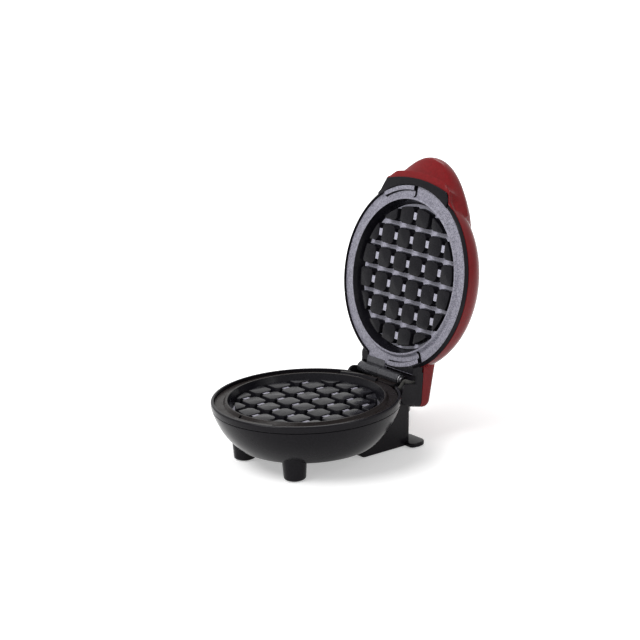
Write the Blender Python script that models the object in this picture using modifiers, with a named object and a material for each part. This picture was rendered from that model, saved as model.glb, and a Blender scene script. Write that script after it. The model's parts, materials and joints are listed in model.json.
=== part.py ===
"""Round waffle maker, standing open on a counter, in metres with +Z up.

The origin is on the counter, under the middle of the open appliance. The front, where the lid's
handle comes down, is at -Y and the hinge is at +Y. Base pieces are drawn in base_frame, whose
origin is the base's centre at the top of its rim. Lid pieces are drawn closed in lid_frame,
whose origin is the centre of the upper plate's lip, and lid_hinge then turns them open.
"""

import math

import bmesh
import bpy
from mathutils import Matrix, Vector

# Fits and fineness
CLEARANCE = 0.0003
OVERRUN = 0.001
MERGE_DISTANCE = 0.00001
TURN_STEPS = 44
SMALL_TURN_STEPS = 16
SCREW_TURN_STEPS = 10
CORNER_STEPS = 4
SHARP_ANGLE = math.radians(35)

# Whole appliance
BASE_RADIUS = 0.0616
LID_RADIUS = 0.0625
RIM_HEIGHT = 0.0425
BASE_CENTRE_Y = -0.0289
OPEN_ANGLE = math.radians(103.4)
WALL = 0.0022

# Waffle plates, both alike but for their radius and hinge knuckle
LIP_RADIUS = 0.0508
CAVITY_FLOOR_RADIUS = 0.048
CAVITY_DEPTH = 0.0078
CASTING_WALL = 0.003
FLANGE_THICKNESS = 0.0028
FLANGE_ROOT_RADIUS = 0.0536
STUD_PITCH = 0.016
STUD_TOP_WIDTH = 0.0125
STUD_FOOT_WIDTH = 0.0132
STUD_HEIGHT = 0.005
STUD_ROOT = 0.0005
STUD_FIELD_RADIUS = 0.046
STUD_LEAST_REMAINS = 0.002
CELLS_ACROSS = 6
RIM_INSET = 0.0023
LID_PLATE_INSET = 0.0025
NOTCH_WIDTH = 0.002
NOTCH_DEPTH = 0.0012
NOTCH_ANGLES = (math.radians(-91), math.radians(60))
LOWER_LIP_DEPTH = 0.0009
PLATE_GAP = 0.0005

# Hinge, whose axis lies midway between the closed plates
HINGE_REACH = 0.0665
BARREL_RADIUS = 0.0039
BARREL_LEFT_X = -0.0262
BARREL_SPLIT_X = -0.005
BARREL_RIGHT_X = 0.0152
PIN_RADIUS = 0.0019
PIN_RUNNING_GAP = 0.0002
PIN_HEAD_RADIUS = 0.003
PIN_HEAD_LENGTH = 0.0007
PIN_END_LENGTH = 0.0016
CLIP_RADIUS = 0.0034
CLIP_THICKNESS = 0.0006
TONGUE_HALF_WIDTH = 0.0235
TONGUE_RECESS = 0.0023
TONGUE_THICKNESS = 0.0034
TONGUE_END_GAP = 0.0009
TONGUE_ROOT_REACH = 0.0505
STRAP_THICKNESS = 0.0022
STRAP_LENGTH = 0.0085

# Heater under each plate
ELEMENT_RADIUS = 0.034
ELEMENT_DIAMETER = 0.0064
ELEMENT_GAP_HALF_ANGLE = math.radians(28)
ELEMENT_STEPS = 18
ELEMENT_END_HEIGHT = 0.0225
POST_RADIUS = 0.0045
POST_HEIGHT = 0.007
REFLECTOR_RADIUS = 0.043
REFLECTOR_RIM = 0.0068
SHEET = 0.0006
STRIP = 0.0008
STRIP_HALF_WIDTH = 0.004
SENSOR_X = -0.017
THERMOSTAT_RADIUS = 0.008
THERMOSTAT_CAP_RADIUS = 0.0094
THERMOSTAT_CAP_HEIGHT = 0.0026
THERMOSTAT_TAB_REACH = 0.014
THERMOSTAT_TAB_HALF_WIDTH = 0.0024
FUSE_RADIUS = 0.002
FUSE_HALF_LENGTH = 0.006
FUSE_LEAD_RADIUS = 0.0006
FUSE_LEAD_LENGTH = 0.007

# Screws
SCREW_HEAD_RADIUS = 0.0018
SCREW_HEAD_HEIGHT = 0.0015
SCREW_SHANK_RADIUS = 0.001
PLATE_SCREW_RADIUS = 0.055
PLATE_SCREW_LENGTH = 0.0038
PLATE_SCREW_ANGLES = (math.radians(30), math.radians(150), math.radians(270))
BOSS_RADIUS = 0.0029
COVER_SCREW_LENGTH = 0.0036
TALL_SCREW_LENGTH = 0.008

# Bowl, its feet and the ring on top of it
RIM_TOP_RADIUS = 0.0609
RIM_TOP_DROP = 0.00075
RIM_SHOULDER_RADIUS = 0.0613
RIM_SHOULDER_DROP = 0.00105
RIM_ROUND_DROP = 0.0016
RIM_FLAT_DROP = 0.0025
RIM_DEPTH = 0.0051
RIM_FOOT_RADIUS = 0.0614
SEAM = 0.0004
SHELF_THICKNESS = 0.0016
SKIRT_THICKNESS = 0.0009
SKIRT_DEPTH = 0.0019
BOWL_TOP_RADIUS = 0.0612
BOWL_BOTTOM_RADIUS = 0.0445
BOWL_DEPTH = 0.031
BOWL_BULGE = 0.0024
BOWL_STEPS = 5
BOTTOM_OPENING_RADIUS = 0.017
COVER_RADIUS = 0.0215
COVER_THICKNESS = 0.0016
COVER_SCREW_RADIUS = 0.0193
WIRE_OPENING_HALF_WIDTH = 0.009
WIRE_OPENING_TOP = -0.014
WIRE_OPENING_BOTTOM = -0.022
WIRE_OPENING_FRONT = 0.047
FOOT_X = 0.027
FOOT_Y = -0.031
FOOT_RADIUS = 0.00715
FOOT_TOP_RADIUS = 0.0083
FOOT_TOP_Z = -0.025
FOOT_LIFT = 0.0006
PAD_RADIUS = 0.005
PAD_THICKNESS = 0.0012

# Pedestal and foot plate
PEDESTAL_HALF_WIDTH = 0.027
PEDESTAL_FRONT = 0.0223
PEDESTAL_TOP_REACH = 0.0643
PEDESTAL_FOOT_REACH = 0.0628
PEDESTAL_TOP_Z = -0.0072
PEDESTAL_LIFT = 0.0006
PEDESTAL_CORNER = 0.004
PEDESTAL_SCREW_X = 0.0213
WEB_THICKNESS = 0.002
PEDESTAL_SCREW_Y = 0.0345
FOOT_SCREW_Y = 0.052
FOOT_BOSS_HEIGHT = 0.012
FOOT_PLATE_HALF_WIDTH = 0.034
FOOT_PLATE_FRONT = 0.0595
FOOT_PLATE_BACK = 0.0728
FOOT_PLATE_CORNER = 0.006
FOOT_PLATE_THICKNESS = 0.0027
REAR_PAD_X = 0.028
REAR_PAD_Y = 0.0662

# Lid shell
SHELL_EDGE = 0.0026
SHELL_STEP = 0.0049
DOME_BASE = 0.003
DOME_HEIGHT = 0.025
DOME_POWER = 2.6
DOME_STEP_SHARES = (0, 0.11, 0.22, 0.34, 0.48, 0.62, 0.76, 0.88, 1)
TAIL_HALF_WIDTH = 0.0292
TAIL_REACH = 0.082
TAIL_ROOT = 0.040
TAIL_TOP = 0.017
TAIL_CORNER = 0.005
TAIL_SIDE_CORNER = 0.003
TAIL_EDGE_CORNER = 0.004
TAIL_SEAM_REACH = 0.054
TAIL_SEAM_HEIGHT = 0.0056
TAIL_SEAM_SLOPE = 0.124
TAIL_HOLLOW_DROP = 0.003
TAIL_SCREW_X = 0.019
TAIL_SCREW_Y = 0.0767

# Handle: a hood over the lid's front, ending below in a brim
HOOD_REACH = 0.0795
HOOD_HALF_WIDTH = 0.039
HOOD_SIDE_REACH = 0.048
HOOD_ROOT = 0.030
HOOD_NOSE_LOW = 0.009
HOOD_NOSE_HIGH = 0.0145
HOOD_TOP = 0.0205
HOOD_TOP_SETBACK = 0.0045
HOOD_SIDE_DROP = 0.0025
HOOD_CREST = 0.0235
HOOD_CREST_RADIUS = 0.050
BRIM_REACH = 0.065
BRIM_END_REACH = 0.0605
BRIM_HALF_WIDTH = 0.0316
BRIM_BACK_REACH = 0.054
BRIM_WALL = 0.0016
HOOD_STATION_SHARES = (0, 0.22, 0.42, 0.6, 0.72, 0.81, 0.85, 1)

# Lid inner housing
BEZEL_TIP = 0.0005
BEZEL_TIP_WIDTH = 0.0004
BEZEL_FLARE_RADIUS = 0.0621
BEZEL_FLARE_HEIGHT = 0.0018
BEZEL_EDGE_RADIUS = 0.0624
BEZEL_STEP_RADIUS = 0.0612
INNER_SKIRT_HEIGHT = 0.0015
VISOR_BOTTOM = 0.0006
VISOR_THICKNESS = 0.002
TRAY_BOTTOM = 0.0016
TRAY_FLOOR = 0.002
TRAY_BOSS_HEIGHT = 0.004
TRAY_FRONT = 0.052
TRAY_STEP_REACH = 0.0585
CHANNEL_MARGIN = 0.001
CHEEK_DEPTH = 0.0094
CHEEK_GAP = 0.0004
CHEEK_CORNER = 0.005

# Power light in the top of the handle, square to its slope
LENS_CENTRE = (0, -0.062, 0.022)
LENS_TILT = math.radians(6.7)
LENS_RADIUS = 0.003
LENS_PROUD = 0.0008
LENS_FLANGE_RADIUS = 0.0042
LENS_FLANGE_DEPTH = 0.003
LENS_FLANGE_THICKNESS = 0.0009
LAMP_RADIUS = 0.0024
LAMP_LENGTH = 0.0075

# Leads that cross the hinge in two sleeves, end to end on its axis
SLEEVE_DIAMETER = 0.003
SLEEVE_JOINT_X = 0.0215
SLEEVE_HOLE_MARGIN = 0.0006
BASE_SLEEVE_X = 0.019
BASE_SLEEVE_Y = 0.0602
LID_SLEEVE_X = 0.0245

# Mains cord inside the pedestal
CORD_DIAMETER = 0.006
RELIEF_X = -0.0125
RELIEF_Z = -0.034
RELIEF_NECK_RADIUS = 0.004
RELIEF_COLLAR_RADIUS = 0.0048
RELIEF_COLLAR_LENGTH = 0.0028
RELIEF_LENGTH = 0.0164
RELIEF_TIP_RADIUS = 0.0036
RELIEF_FLANGE_LENGTH = 0.002
CLAMP_Y = 0.0515
CLAMP_RAISE = 0.0009
CLAMP_WIDTH = 0.006
CLAMP_EAR = 0.0062
CLAMP_THICKNESS = 0.0016
CRIMP_RADIUS = 0.0031
CRIMP_TIP_RADIUS = 0.002
CRIMP_LENGTH = 0.013
CRIMP_Y = 0.036
CRIMP_XS = {"live": 0.004, "neutral": 0.0125}

# Free cord, in the appliance's own frame, down to the counter and back to the coil
CORD_ROUTE = (
    (-0.0125, 0.0509, 0.0085),
    (-0.0125, 0.0569, 0.0085),
    (-0.0136, 0.0616, 0.0081),
    (-0.0182, 0.0684, 0.0066),
    (-0.0250, 0.0732, 0.0052),
    (-0.0335, 0.0765, 0.0045),
    (-0.0460, 0.0801, 0.0043),
    (-0.0581, 0.08335, 0.0043),
    (-0.0639, 0.0849, 0.0043),
)
CORD_POINT_SPACING = 0.012
CORD_SIDE_LEVEL = 2
COIL_CENTRE = (-0.0797, 0.0501)
COIL_MEAN_RADIUS = 0.033
COIL_PITCH = 0.0077
COIL_LAYER_HEIGHT = 0.0066
COIL_BOTTOM_Z = 0.0043
COIL_START_ANGLE = math.radians(75)
COIL_TURNS = 2.9375
COIL_CLIMB_TURNS = 0.5
COIL_STEPS_A_TURN = 24
COIL_SIDE_LEVEL = 1
COIL_LEAD_OUT = 0.034
LEAD_OUT_SHARES = ((0.25, 0), (0.55, 0.15), (0.8, 1), (1, 1))
COIL_LEAD_OUT_DROP = 0.0016
TIE_ANGLE = math.radians(200)
TIE_THICKNESS = 0.0008
TIE_WIDTH = 0.007
TIE_INNER_RADIUS = 0.0242
TIE_OUTER_RADIUS = 0.0388

# Plug: distance from the cord's end, half width and half thickness of each section
PLUG_SECTIONS = (
    (0.000, 0.0045, 0.0045),
    (0.022, 0.0062, 0.0058),
    (0.0225, 0.0082, 0.0066),
    (0.027, 0.0086, 0.0068),
    (0.0275, 0.0100, 0.0072),
    (0.033, 0.0118, 0.0078),
    (0.0455, 0.0120, 0.0080),
    (0.046, 0.0135, 0.0090),
    (0.049, 0.0135, 0.0090),
)
PLUG_SIDES = 16
PLUG_SECTION_POWER = 2.6
BLADE_SPACING = 0.0127
BLADE_THICKNESS = 0.0015
BLADE_WIDTH = 0.0063
BLADE_LENGTH = 0.0165
BLADE_ROOT = 0.003
BLADE_TIP_CHAMFER = 0.0012
BLADE_HOLE_RADIUS = 0.0016
BLADE_HOLE_SETBACK = 0.0048

# Colour, roughness and metallic value of each finish
FINISHES = {
    "black_plastic": ((0.012, 0.012, 0.014), 0.28, 0.0),
    "red_plastic": ((0.36, 0.012, 0.016), 0.2, 0.0),
    "cast_plate": ((0.055, 0.052, 0.058), 0.45, 0.5),
    "steel": ((0.42, 0.42, 0.44), 0.3, 1.0),
    "aluminised_sheet": ((0.55, 0.55, 0.56), 0.4, 0.9),
    "element_sheath": ((0.16, 0.15, 0.14), 0.5, 0.8),
    "rubber": ((0.03, 0.03, 0.03), 0.8, 0.0),
    "cord_jacket": ((0.015, 0.015, 0.015), 0.5, 0.0),
    "phenolic": ((0.05, 0.035, 0.03), 0.6, 0.0),
    "clear_red": ((0.6, 0.03, 0.02), 0.15, 0.0),
    "lamp_glass": ((0.8, 0.35, 0.15), 0.2, 0.0),
    "glass_fibre_sleeve": ((0.6, 0.58, 0.52), 0.8, 0.0),
    "white_nylon": ((0.7, 0.7, 0.68), 0.5, 0.0),
    "blade_metal": ((0.6, 0.58, 0.52), 0.25, 1.0),
}

PARTS = "round_waffle_maker"
HELPERS = "cutters_and_joined_pieces"

UPPER_LIP_Z = -LOWER_LIP_DEPTH + PLATE_GAP
HINGE_Z = -LOWER_LIP_DEPTH + PLATE_GAP / 2
HINGE_BEHIND_LIP = -PLATE_GAP / 2
PLATE_BACK = CAVITY_DEPTH + CASTING_WALL
SHELF_FACE = FLANGE_THICKNESS + CLEARANCE
SHELF_BACK = SHELF_FACE + SHELF_THICKNESS
LOWER_PLATE_RADIUS = BASE_RADIUS - RIM_INSET
UPPER_PLATE_RADIUS = LID_RADIUS - LID_PLATE_INSET
FLOOR_Z = -RIM_HEIGHT
OPENING_HALF_WIDTH = TONGUE_HALF_WIDTH + CLEARANCE
OPENING_START = TONGUE_ROOT_REACH - CLEARANCE


def start_scene():
    for obj in list(bpy.data.objects):
        bpy.data.objects.remove(obj, do_unlink=True)
    for name in (PARTS, HELPERS):
        collection = bpy.data.collections.new(name)
        bpy.context.scene.collection.children.link(collection)
    for name, (colour, roughness, metallic) in FINISHES.items():
        finish = bpy.data.materials.new(name)
        finish.use_nodes = True
        shader = finish.node_tree.nodes["Principled BSDF"]
        shader.inputs["Base Color"].default_value = (*colour, 1)
        shader.inputs["Roughness"].default_value = roughness
        shader.inputs["Metallic"].default_value = metallic


def empty(name, parent=None, location=(0, 0, 0), rotation=(0, 0, 0)):
    obj = bpy.data.objects.new(name, None)
    bpy.data.collections[PARTS].objects.link(obj)
    obj.parent = parent
    obj.location = location
    obj.rotation_euler = rotation
    return obj


def place(name, parent, data, finish):
    """An object with this shape: a part where it has a finish, and a hidden helper where not."""
    obj = bpy.data.objects.new(name, data)
    bpy.data.collections[PARTS if finish else HELPERS].objects.link(obj)
    obj.parent = parent
    if finish:
        data.materials.append(bpy.data.materials[finish])
    else:
        obj.hide_render = True
        obj.display_type = "WIRE"
    return obj


def mesh_object(name, parent, bm, finish):
    bmesh.ops.recalc_face_normals(bm, faces=bm.faces)
    mesh = bpy.data.meshes.new(name)
    bm.to_mesh(mesh)
    bm.free()
    mesh.shade_smooth()
    mesh.set_sharp_from_angle(angle=SHARP_ANGLE)
    return place(name, parent, mesh, finish)


def box(name, parent, low, high, finish=None):
    low, high = Vector(low), Vector(high)
    bm = bmesh.new()
    bmesh.ops.create_cube(bm, size=1)
    bmesh.ops.scale(bm, vec=high - low, verts=bm.verts)
    bmesh.ops.translate(bm, vec=(low + high) / 2, verts=bm.verts)
    return mesh_object(name, parent, bm, finish)


def bar(name, parent, radius, start, end, finish=None, steps=SMALL_TURN_STEPS, end_radius=None):
    """A round bar or cone from start to end."""
    start, end = Vector(start), Vector(end)
    bm = bmesh.new()
    bmesh.ops.create_cone(
        bm,
        cap_ends=True,
        segments=steps,
        radius1=radius,
        radius2=radius if end_radius is None else end_radius,
        depth=(end - start).length,
    )
    turn = (end - start).to_track_quat("Z", "Y").to_matrix().to_4x4()
    matrix = Matrix.Translation((start + end) / 2) @ turn
    bmesh.ops.transform(bm, matrix=matrix, verts=bm.verts)
    return mesh_object(name, parent, bm, finish)


def turned(name, parent, profile, finish=None, steps=TURN_STEPS, loop=False):
    """A profile of (radius, height) turned round Z. It runs down its outer side."""
    mesh = bpy.data.meshes.new(name)
    edges = [(i, i + 1) for i in range(len(profile) - 1)]
    if loop:
        edges.append((len(profile) - 1, 0))
    mesh.from_pydata([(radius, 0, height) for radius, height in profile], edges, [])
    obj = place(name, parent, mesh, finish)
    screw = obj.modifiers.new("turn", "SCREW")
    screw.steps = screw.render_steps = steps
    screw.use_merge_vertices = True
    screw.merge_threshold = MERGE_DISTANCE
    return obj


def extruded(name, parent, outlines, axis, start, end, finish=None):
    """Flat outlines, the first with the others as holes, drawn out along an axis.

    An outline's pairs are the two other coordinates, in X, Y, Z order.
    """
    curve = bpy.data.curves.new(name, "CURVE")
    curve.dimensions = "2D"
    curve.fill_mode = "BOTH"
    curve.extrude = (end - start) / 2
    for outline in outlines:
        spline = curve.splines.new("POLY")
        spline.points.add(len(outline) - 1)
        for point, (a, b) in zip(spline.points, outline):
            point.co = (a, b, 0, 1)
        spline.use_cyclic_u = True
    guide = bpy.data.objects.new(name, curve)
    bpy.context.scene.collection.objects.link(guide)
    graph = bpy.context.evaluated_depsgraph_get()
    flat = bpy.data.meshes.new_from_object(guide.evaluated_get(graph))
    bpy.data.objects.remove(guide, do_unlink=True)
    bm = bmesh.new()
    bm.from_mesh(flat)
    bpy.data.meshes.remove(flat)
    bmesh.ops.remove_doubles(bm, verts=bm.verts, dist=MERGE_DISTANCE)
    turn = {
        "X": Matrix(((0, 0, 1), (1, 0, 0), (0, 1, 0))),
        "Y": Matrix(((1, 0, 0), (0, 0, -1), (0, 1, 0))),
        "Z": Matrix.Identity(3),
    }[axis]
    middle = Vector([(start + end) / 2 if axis == each else 0 for each in "XYZ"])
    matrix = Matrix.Translation(middle) @ turn.to_4x4()
    bmesh.ops.transform(bm, matrix=matrix, verts=bm.verts)
    return mesh_object(name, parent, bm, finish)


def loft(name, parent, rings, finish=None):
    """A skin over rings of points that match one to one, with flat ends."""
    bm = bmesh.new()
    loops = [[bm.verts.new(point) for point in ring] for ring in rings]
    for near, far in zip(loops, loops[1:]):
        for i, corner in enumerate(near):
            j = (i + 1) % len(near)
            bm.faces.new((corner, near[j], far[j], far[i]))
    bm.faces.new(loops[0])
    bm.faces.new(loops[-1])
    return mesh_object(name, parent, bm, finish)


def tube(name, parent, points, diameter, finish, side_level):
    curve = bpy.data.curves.new(name, "CURVE")
    curve.dimensions = "3D"
    curve.bevel_depth = diameter / 2
    curve.bevel_resolution = side_level
    curve.use_fill_caps = True
    spline = curve.splines.new("POLY")
    spline.points.add(len(points) - 1)
    for point, place_of_it in zip(spline.points, points):
        point.co = (*place_of_it, 1)
    return place(name, parent, curve, finish)


def change(obj, operation, *tools):
    for tool in tools:
        modifier = obj.modifiers.new(f"{operation.lower()} {tool.name}", "BOOLEAN")
        modifier.operation = operation
        modifier.object = tool


def join(obj, *tools):
    change(obj, "UNION", *tools)


def cut(obj, *tools):
    change(obj, "DIFFERENCE", *tools)


def arc(centre, radius, start, end, steps=CORNER_STEPS):
    """Points along an arc, from the start angle to the end angle in degrees."""
    points = []
    for i in range(steps + 1):
        angle = math.radians(start + (end - start) * i / steps)
        points.append((centre[0] + radius * math.cos(angle), centre[1] + radius * math.sin(angle)))
    return points


def smooth_points(route, spacing):
    """Evenly spaced points on a Catmull-Rom curve through a route's points."""
    knots = [Vector(point) for point in route]
    knots = [2 * knots[0] - knots[1], *knots, 2 * knots[-1] - knots[-2]]
    fine = []
    for a, b, c, d in zip(knots, knots[1:], knots[2:], knots[3:]):
        for step in range(20):
            t = step / 20
            fine.append(
                0.5 * (2 * b + (c - a) * t + (2 * a - 5 * b + 4 * c - d) * t**2)
                + 0.5 * (3 * b - a - 3 * c + d) * t**3
            )
    fine.append(knots[-2])
    lengths = [0]
    for near, far in zip(fine, fine[1:]):
        lengths.append(lengths[-1] + (far - near).length)
    count = max(1, round(lengths[-1] / spacing))
    points = []
    i = 0
    for step in range(count + 1):
        along = lengths[-1] * step / count
        while i < len(fine) - 2 and lengths[i + 1] < along:
            i += 1
        share = (along - lengths[i]) / (lengths[i + 1] - lengths[i])
        points.append(fine[i].lerp(fine[i + 1], min(1, share)))
    return points


def screw(name, parent, seat, direction, length, receivers, sunk=False):
    """A pan-head screw whose head bears on seat, and its hole in each piece that it holds."""
    direction = Vector(direction).normalized()
    turn = (-direction).to_track_quat("Z", "Y").to_euler()
    place_of_it = Vector(seat) - direction * CLEARANCE
    profile = (
        (0, SCREW_HEAD_HEIGHT),
        (SCREW_HEAD_RADIUS, SCREW_HEAD_HEIGHT),
        (SCREW_HEAD_RADIUS, 0),
        (SCREW_SHANK_RADIUS, 0),
        (SCREW_SHANK_RADIUS, -length),
        (0, -length),
    )
    hole_radius = SCREW_SHANK_RADIUS + CLEARANCE
    hole_top = SCREW_HEAD_HEIGHT + OVERRUN
    hole_end = -length - CLEARANCE
    hole = ((0, hole_top), (hole_radius, hole_top), (hole_radius, hole_end), (0, hole_end))
    if sunk:
        wide = SCREW_HEAD_RADIUS + CLEARANCE
        hole = ((0, hole_top), (wide, hole_top), (wide, -CLEARANCE), (hole_radius, -CLEARANCE), *hole[2:])
    for label, outline, finish in ((name, profile, "steel"), (f"{name}_hole", hole, None)):
        obj = turned(label, parent, outline, finish, SCREW_TURN_STEPS)
        obj.location = place_of_it
        obj.rotation_euler = turn
    for receiver in receivers:
        cut(receiver, obj)


def stud_field(name, parent):
    """The square studs, kept to a round field, as two tools: the whole ones and the cut ones."""
    depth = STUD_HEIGHT + STUD_ROOT
    middle = CAVITY_DEPTH - STUD_HEIGHT + depth / 2
    whole = bmesh.new()
    trimmed = bmesh.new()
    for column in range(CELLS_ACROSS):
        for row in range(CELLS_ACROSS):
            x = (column - (CELLS_ACROSS - 1) / 2) * STUD_PITCH
            y = (row - (CELLS_ACROSS - 1) / 2) * STUD_PITCH
            near_corner = Vector((abs(x), abs(y))) - Vector((STUD_TOP_WIDTH, STUD_TOP_WIDTH)) / 2
            far_corner = Vector((abs(x), abs(y))) + Vector((STUD_FOOT_WIDTH, STUD_FOOT_WIDTH)) / 2
            if near_corner.length > STUD_FIELD_RADIUS - STUD_LEAST_REMAINS:
                continue
            bmesh.ops.create_cone(
                whole if far_corner.length < STUD_FIELD_RADIUS else trimmed,
                cap_ends=True,
                segments=4,
                radius1=STUD_TOP_WIDTH / math.sqrt(2),
                radius2=STUD_FOOT_WIDTH / math.sqrt(2),
                depth=depth,
                matrix=Matrix.Translation((x, y, middle)) @ Matrix.Rotation(math.pi / 4, 4, "Z"),
            )
    inner = mesh_object(f"{name}_whole_studs", parent, whole, None)
    outer = mesh_object(f"{name}_trimmed_studs", parent, trimmed, None)
    top = (0, 0, middle - depth)
    field = bar(f"{name}_stud_field", parent, STUD_FIELD_RADIUS, top, (0, 0, middle + depth), None, TURN_STEPS)
    change(outer, "INTERSECT", field)
    return inner, outer


def waffle_plate(name, frame, radius, knuckle, tongue):
    """A cast plate. In its frame the cavity opens to -Z and the hinge is at +Y."""
    profile = (
        (0, PLATE_BACK),
        (LIP_RADIUS, PLATE_BACK),
        (FLANGE_ROOT_RADIUS, FLANGE_THICKNESS),
        (radius, FLANGE_THICKNESS),
        (radius, 0),
        (LIP_RADIUS, 0),
        (CAVITY_FLOOR_RADIUS, CAVITY_DEPTH),
        (0, CAVITY_DEPTH),
    )
    plate = turned(name, frame, profile, "cast_plate")
    join(plate, *stud_field(name, frame))
    post_foot = (0, 0, PLATE_BACK - STUD_ROOT)
    join(plate, bar(f"{name}_post", frame, POST_RADIUS, post_foot, (0, 0, PLATE_BACK + POST_HEIGHT)))
    tongue_end = HINGE_REACH - BARREL_RADIUS - TONGUE_END_GAP
    tongue_low = (tongue[0], TONGUE_ROOT_REACH, TONGUE_RECESS)
    tongue_high = (tongue[1], tongue_end, TONGUE_RECESS + TONGUE_THICKNESS)
    join(plate, box(f"{name}_tongue", frame, tongue_low, tongue_high))
    strap_top = HINGE_BEHIND_LIP + BARREL_RADIUS
    strap_start = max(knuckle[0], -TONGUE_HALF_WIDTH)
    strap_low = (strap_start, HINGE_REACH - STRAP_LENGTH, strap_top - STRAP_THICKNESS)
    join(plate, box(f"{name}_strap", frame, strap_low, (knuckle[1], HINGE_REACH, strap_top)))
    ends = [(x, HINGE_REACH, HINGE_BEHIND_LIP) for x in knuckle]
    join(plate, bar(f"{name}_knuckle", frame, BARREL_RADIUS, *ends, None, 24))
    ends[0] = (knuckle[0] - OVERRUN, *ends[0][1:])
    ends[1] = (knuckle[1] + OVERRUN, *ends[1][1:])
    cut(plate, bar(f"{name}_bore", frame, PIN_RADIUS + PIN_RUNNING_GAP, *ends))
    for number, angle in enumerate(NOTCH_ANGLES, 1):
        low = (LIP_RADIUS + CLEARANCE, -NOTCH_WIDTH / 2, -OVERRUN)
        notch = box(f"{name}_notch_{number}", frame, low, (LID_RADIUS, NOTCH_WIDTH / 2, NOTCH_DEPTH))
        notch.rotation_euler = (0, 0, angle)
        cut(plate, notch)
    return plate


def heater(prefix, frame, plate):
    """The tubular element behind a plate and its reflector. Returns the reflector."""
    height = PLATE_BACK + CLEARANCE + ELEMENT_DIAMETER / 2
    first = math.pi / 2 + ELEMENT_GAP_HALF_ANGLE
    sweep = 2 * (math.pi - ELEMENT_GAP_HALF_ANGLE)
    ring = []
    for step in range(ELEMENT_STEPS + 1):
        angle = first + sweep * step / ELEMENT_STEPS
        ring.append(Vector((math.cos(angle), math.sin(angle), 0)) * ELEMENT_RADIUS + Vector((0, 0, height)))
    ends = []
    for end, beside in ((ring[0], ring[1]), (ring[-1], ring[-2])):
        onward = (end - beside).normalized() * ELEMENT_DIAMETER / 2
        upward = Vector((0, 0, ELEMENT_DIAMETER / 2))
        corner = end + 2 * onward + upward
        ends.append([end + onward + upward / 4, corner, Vector((corner.x, corner.y, ELEMENT_END_HEIGHT))])
    route = [*reversed(ends[0]), *ring, *ends[1]]
    tube(f"{prefix}_heating_element", frame, route, ELEMENT_DIAMETER, "element_sheath", 2)

    back = PLATE_BACK + POST_HEIGHT + 2 * CLEARANCE + STRIP + SHEET
    profile = (
        (0, back),
        (REFLECTOR_RADIUS, back),
        (REFLECTOR_RADIUS, back - REFLECTOR_RIM),
        (REFLECTOR_RADIUS - SHEET, back - REFLECTOR_RIM),
        (REFLECTOR_RADIUS - SHEET, back - SHEET),
        (0, back - SHEET),
    )
    reflector = turned(f"{prefix}_heat_reflector", frame, profile, "aluminised_sheet", 32)
    for number, end in enumerate(ends, 1):
        low = (end[2].x, end[2].y, back - 2 * SHEET)
        hole = bar(f"{prefix}_pin_hole_{number}", frame, ELEMENT_DIAMETER * 0.7, low, end[2])
        cut(reflector, hole)
    return reflector, back


def plate_screws(prefix, frame, plate, carrier):
    for number, angle in enumerate(PLATE_SCREW_ANGLES, 1):
        seat = (PLATE_SCREW_RADIUS * math.cos(angle), PLATE_SCREW_RADIUS * math.sin(angle), SHELF_BACK)
        screw(f"{prefix}_plate_screw_{number}", frame, seat, (0, 0, -1), PLATE_SCREW_LENGTH, (plate, carrier))


def thermostat(frame):
    base = PLATE_BACK + CLEARANCE
    top = PLATE_BACK + POST_HEIGHT
    shoulder = base + THERMOSTAT_CAP_HEIGHT
    profile = (
        (0, top),
        (THERMOSTAT_RADIUS, top),
        (THERMOSTAT_RADIUS, shoulder),
        (THERMOSTAT_CAP_RADIUS, shoulder),
        (THERMOSTAT_CAP_RADIUS, base),
        (0, base),
    )
    body = turned("thermostat", frame, profile, "phenolic", 24)
    body.location.x = SENSOR_X
    tab_z = (shoulder + top) / 2
    low = (SENSOR_X - THERMOSTAT_TAB_HALF_WIDTH, -THERMOSTAT_TAB_REACH, tab_z)
    high = (SENSOR_X + THERMOSTAT_TAB_HALF_WIDTH, THERMOSTAT_TAB_REACH, tab_z + STRIP)
    join(body, box("thermostat_tabs", frame, low, high))


def sensor_strip(name, frame, outline):
    return extruded(name, frame, (outline,), "Y", -STRIP_HALF_WIDTH, STRIP_HALF_WIDTH, "steel")


def thermostat_bracket(frame):
    low = PLATE_BACK + POST_HEIGHT + CLEARANCE
    far = SENSOR_X - THERMOSTAT_RADIUS
    outline = ((far, low), (POST_RADIUS, low), (POST_RADIUS, low + STRIP), (far, low + STRIP))
    return sensor_strip("thermostat_bracket", frame, outline)


def thermal_fuse(frame):
    """A fuse that lies along Y on the upper plate's back, with its two leads."""
    lead_end = FUSE_HALF_LENGTH + FUSE_LEAD_LENGTH
    half = (
        (0, lead_end),
        (FUSE_LEAD_RADIUS, lead_end),
        (FUSE_LEAD_RADIUS, FUSE_HALF_LENGTH),
        (FUSE_RADIUS, FUSE_HALF_LENGTH - FUSE_LEAD_RADIUS),
    )
    profile = [*half, *((radius, -height) for radius, height in reversed(half))]
    fuse = turned("thermal_fuse", frame, profile, "white_nylon", 12)
    fuse.location = (SENSOR_X, 0, PLATE_BACK + CLEARANCE + FUSE_RADIUS)
    fuse.rotation_euler = (math.pi / 2, 0, 0)


def thermal_fuse_clip(frame):
    high = PLATE_BACK + POST_HEIGHT + CLEARANCE
    low = PLATE_BACK + 2 * (CLEARANCE + FUSE_RADIUS)
    far = SENSOR_X - 2 * FUSE_RADIUS
    near = SENSOR_X + 2 * FUSE_RADIUS
    bend = near + (high - low)
    outline = (
        (far, low),
        (near, low),
        (bend, high),
        (POST_RADIUS, high),
        (POST_RADIUS, high + STRIP),
        (bend - STRIP / 2, high + STRIP),
        (near - STRIP / 2, low + STRIP),
        (far, low + STRIP),
    )
    return sensor_strip("thermal_fuse_clip", frame, outline)


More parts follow.
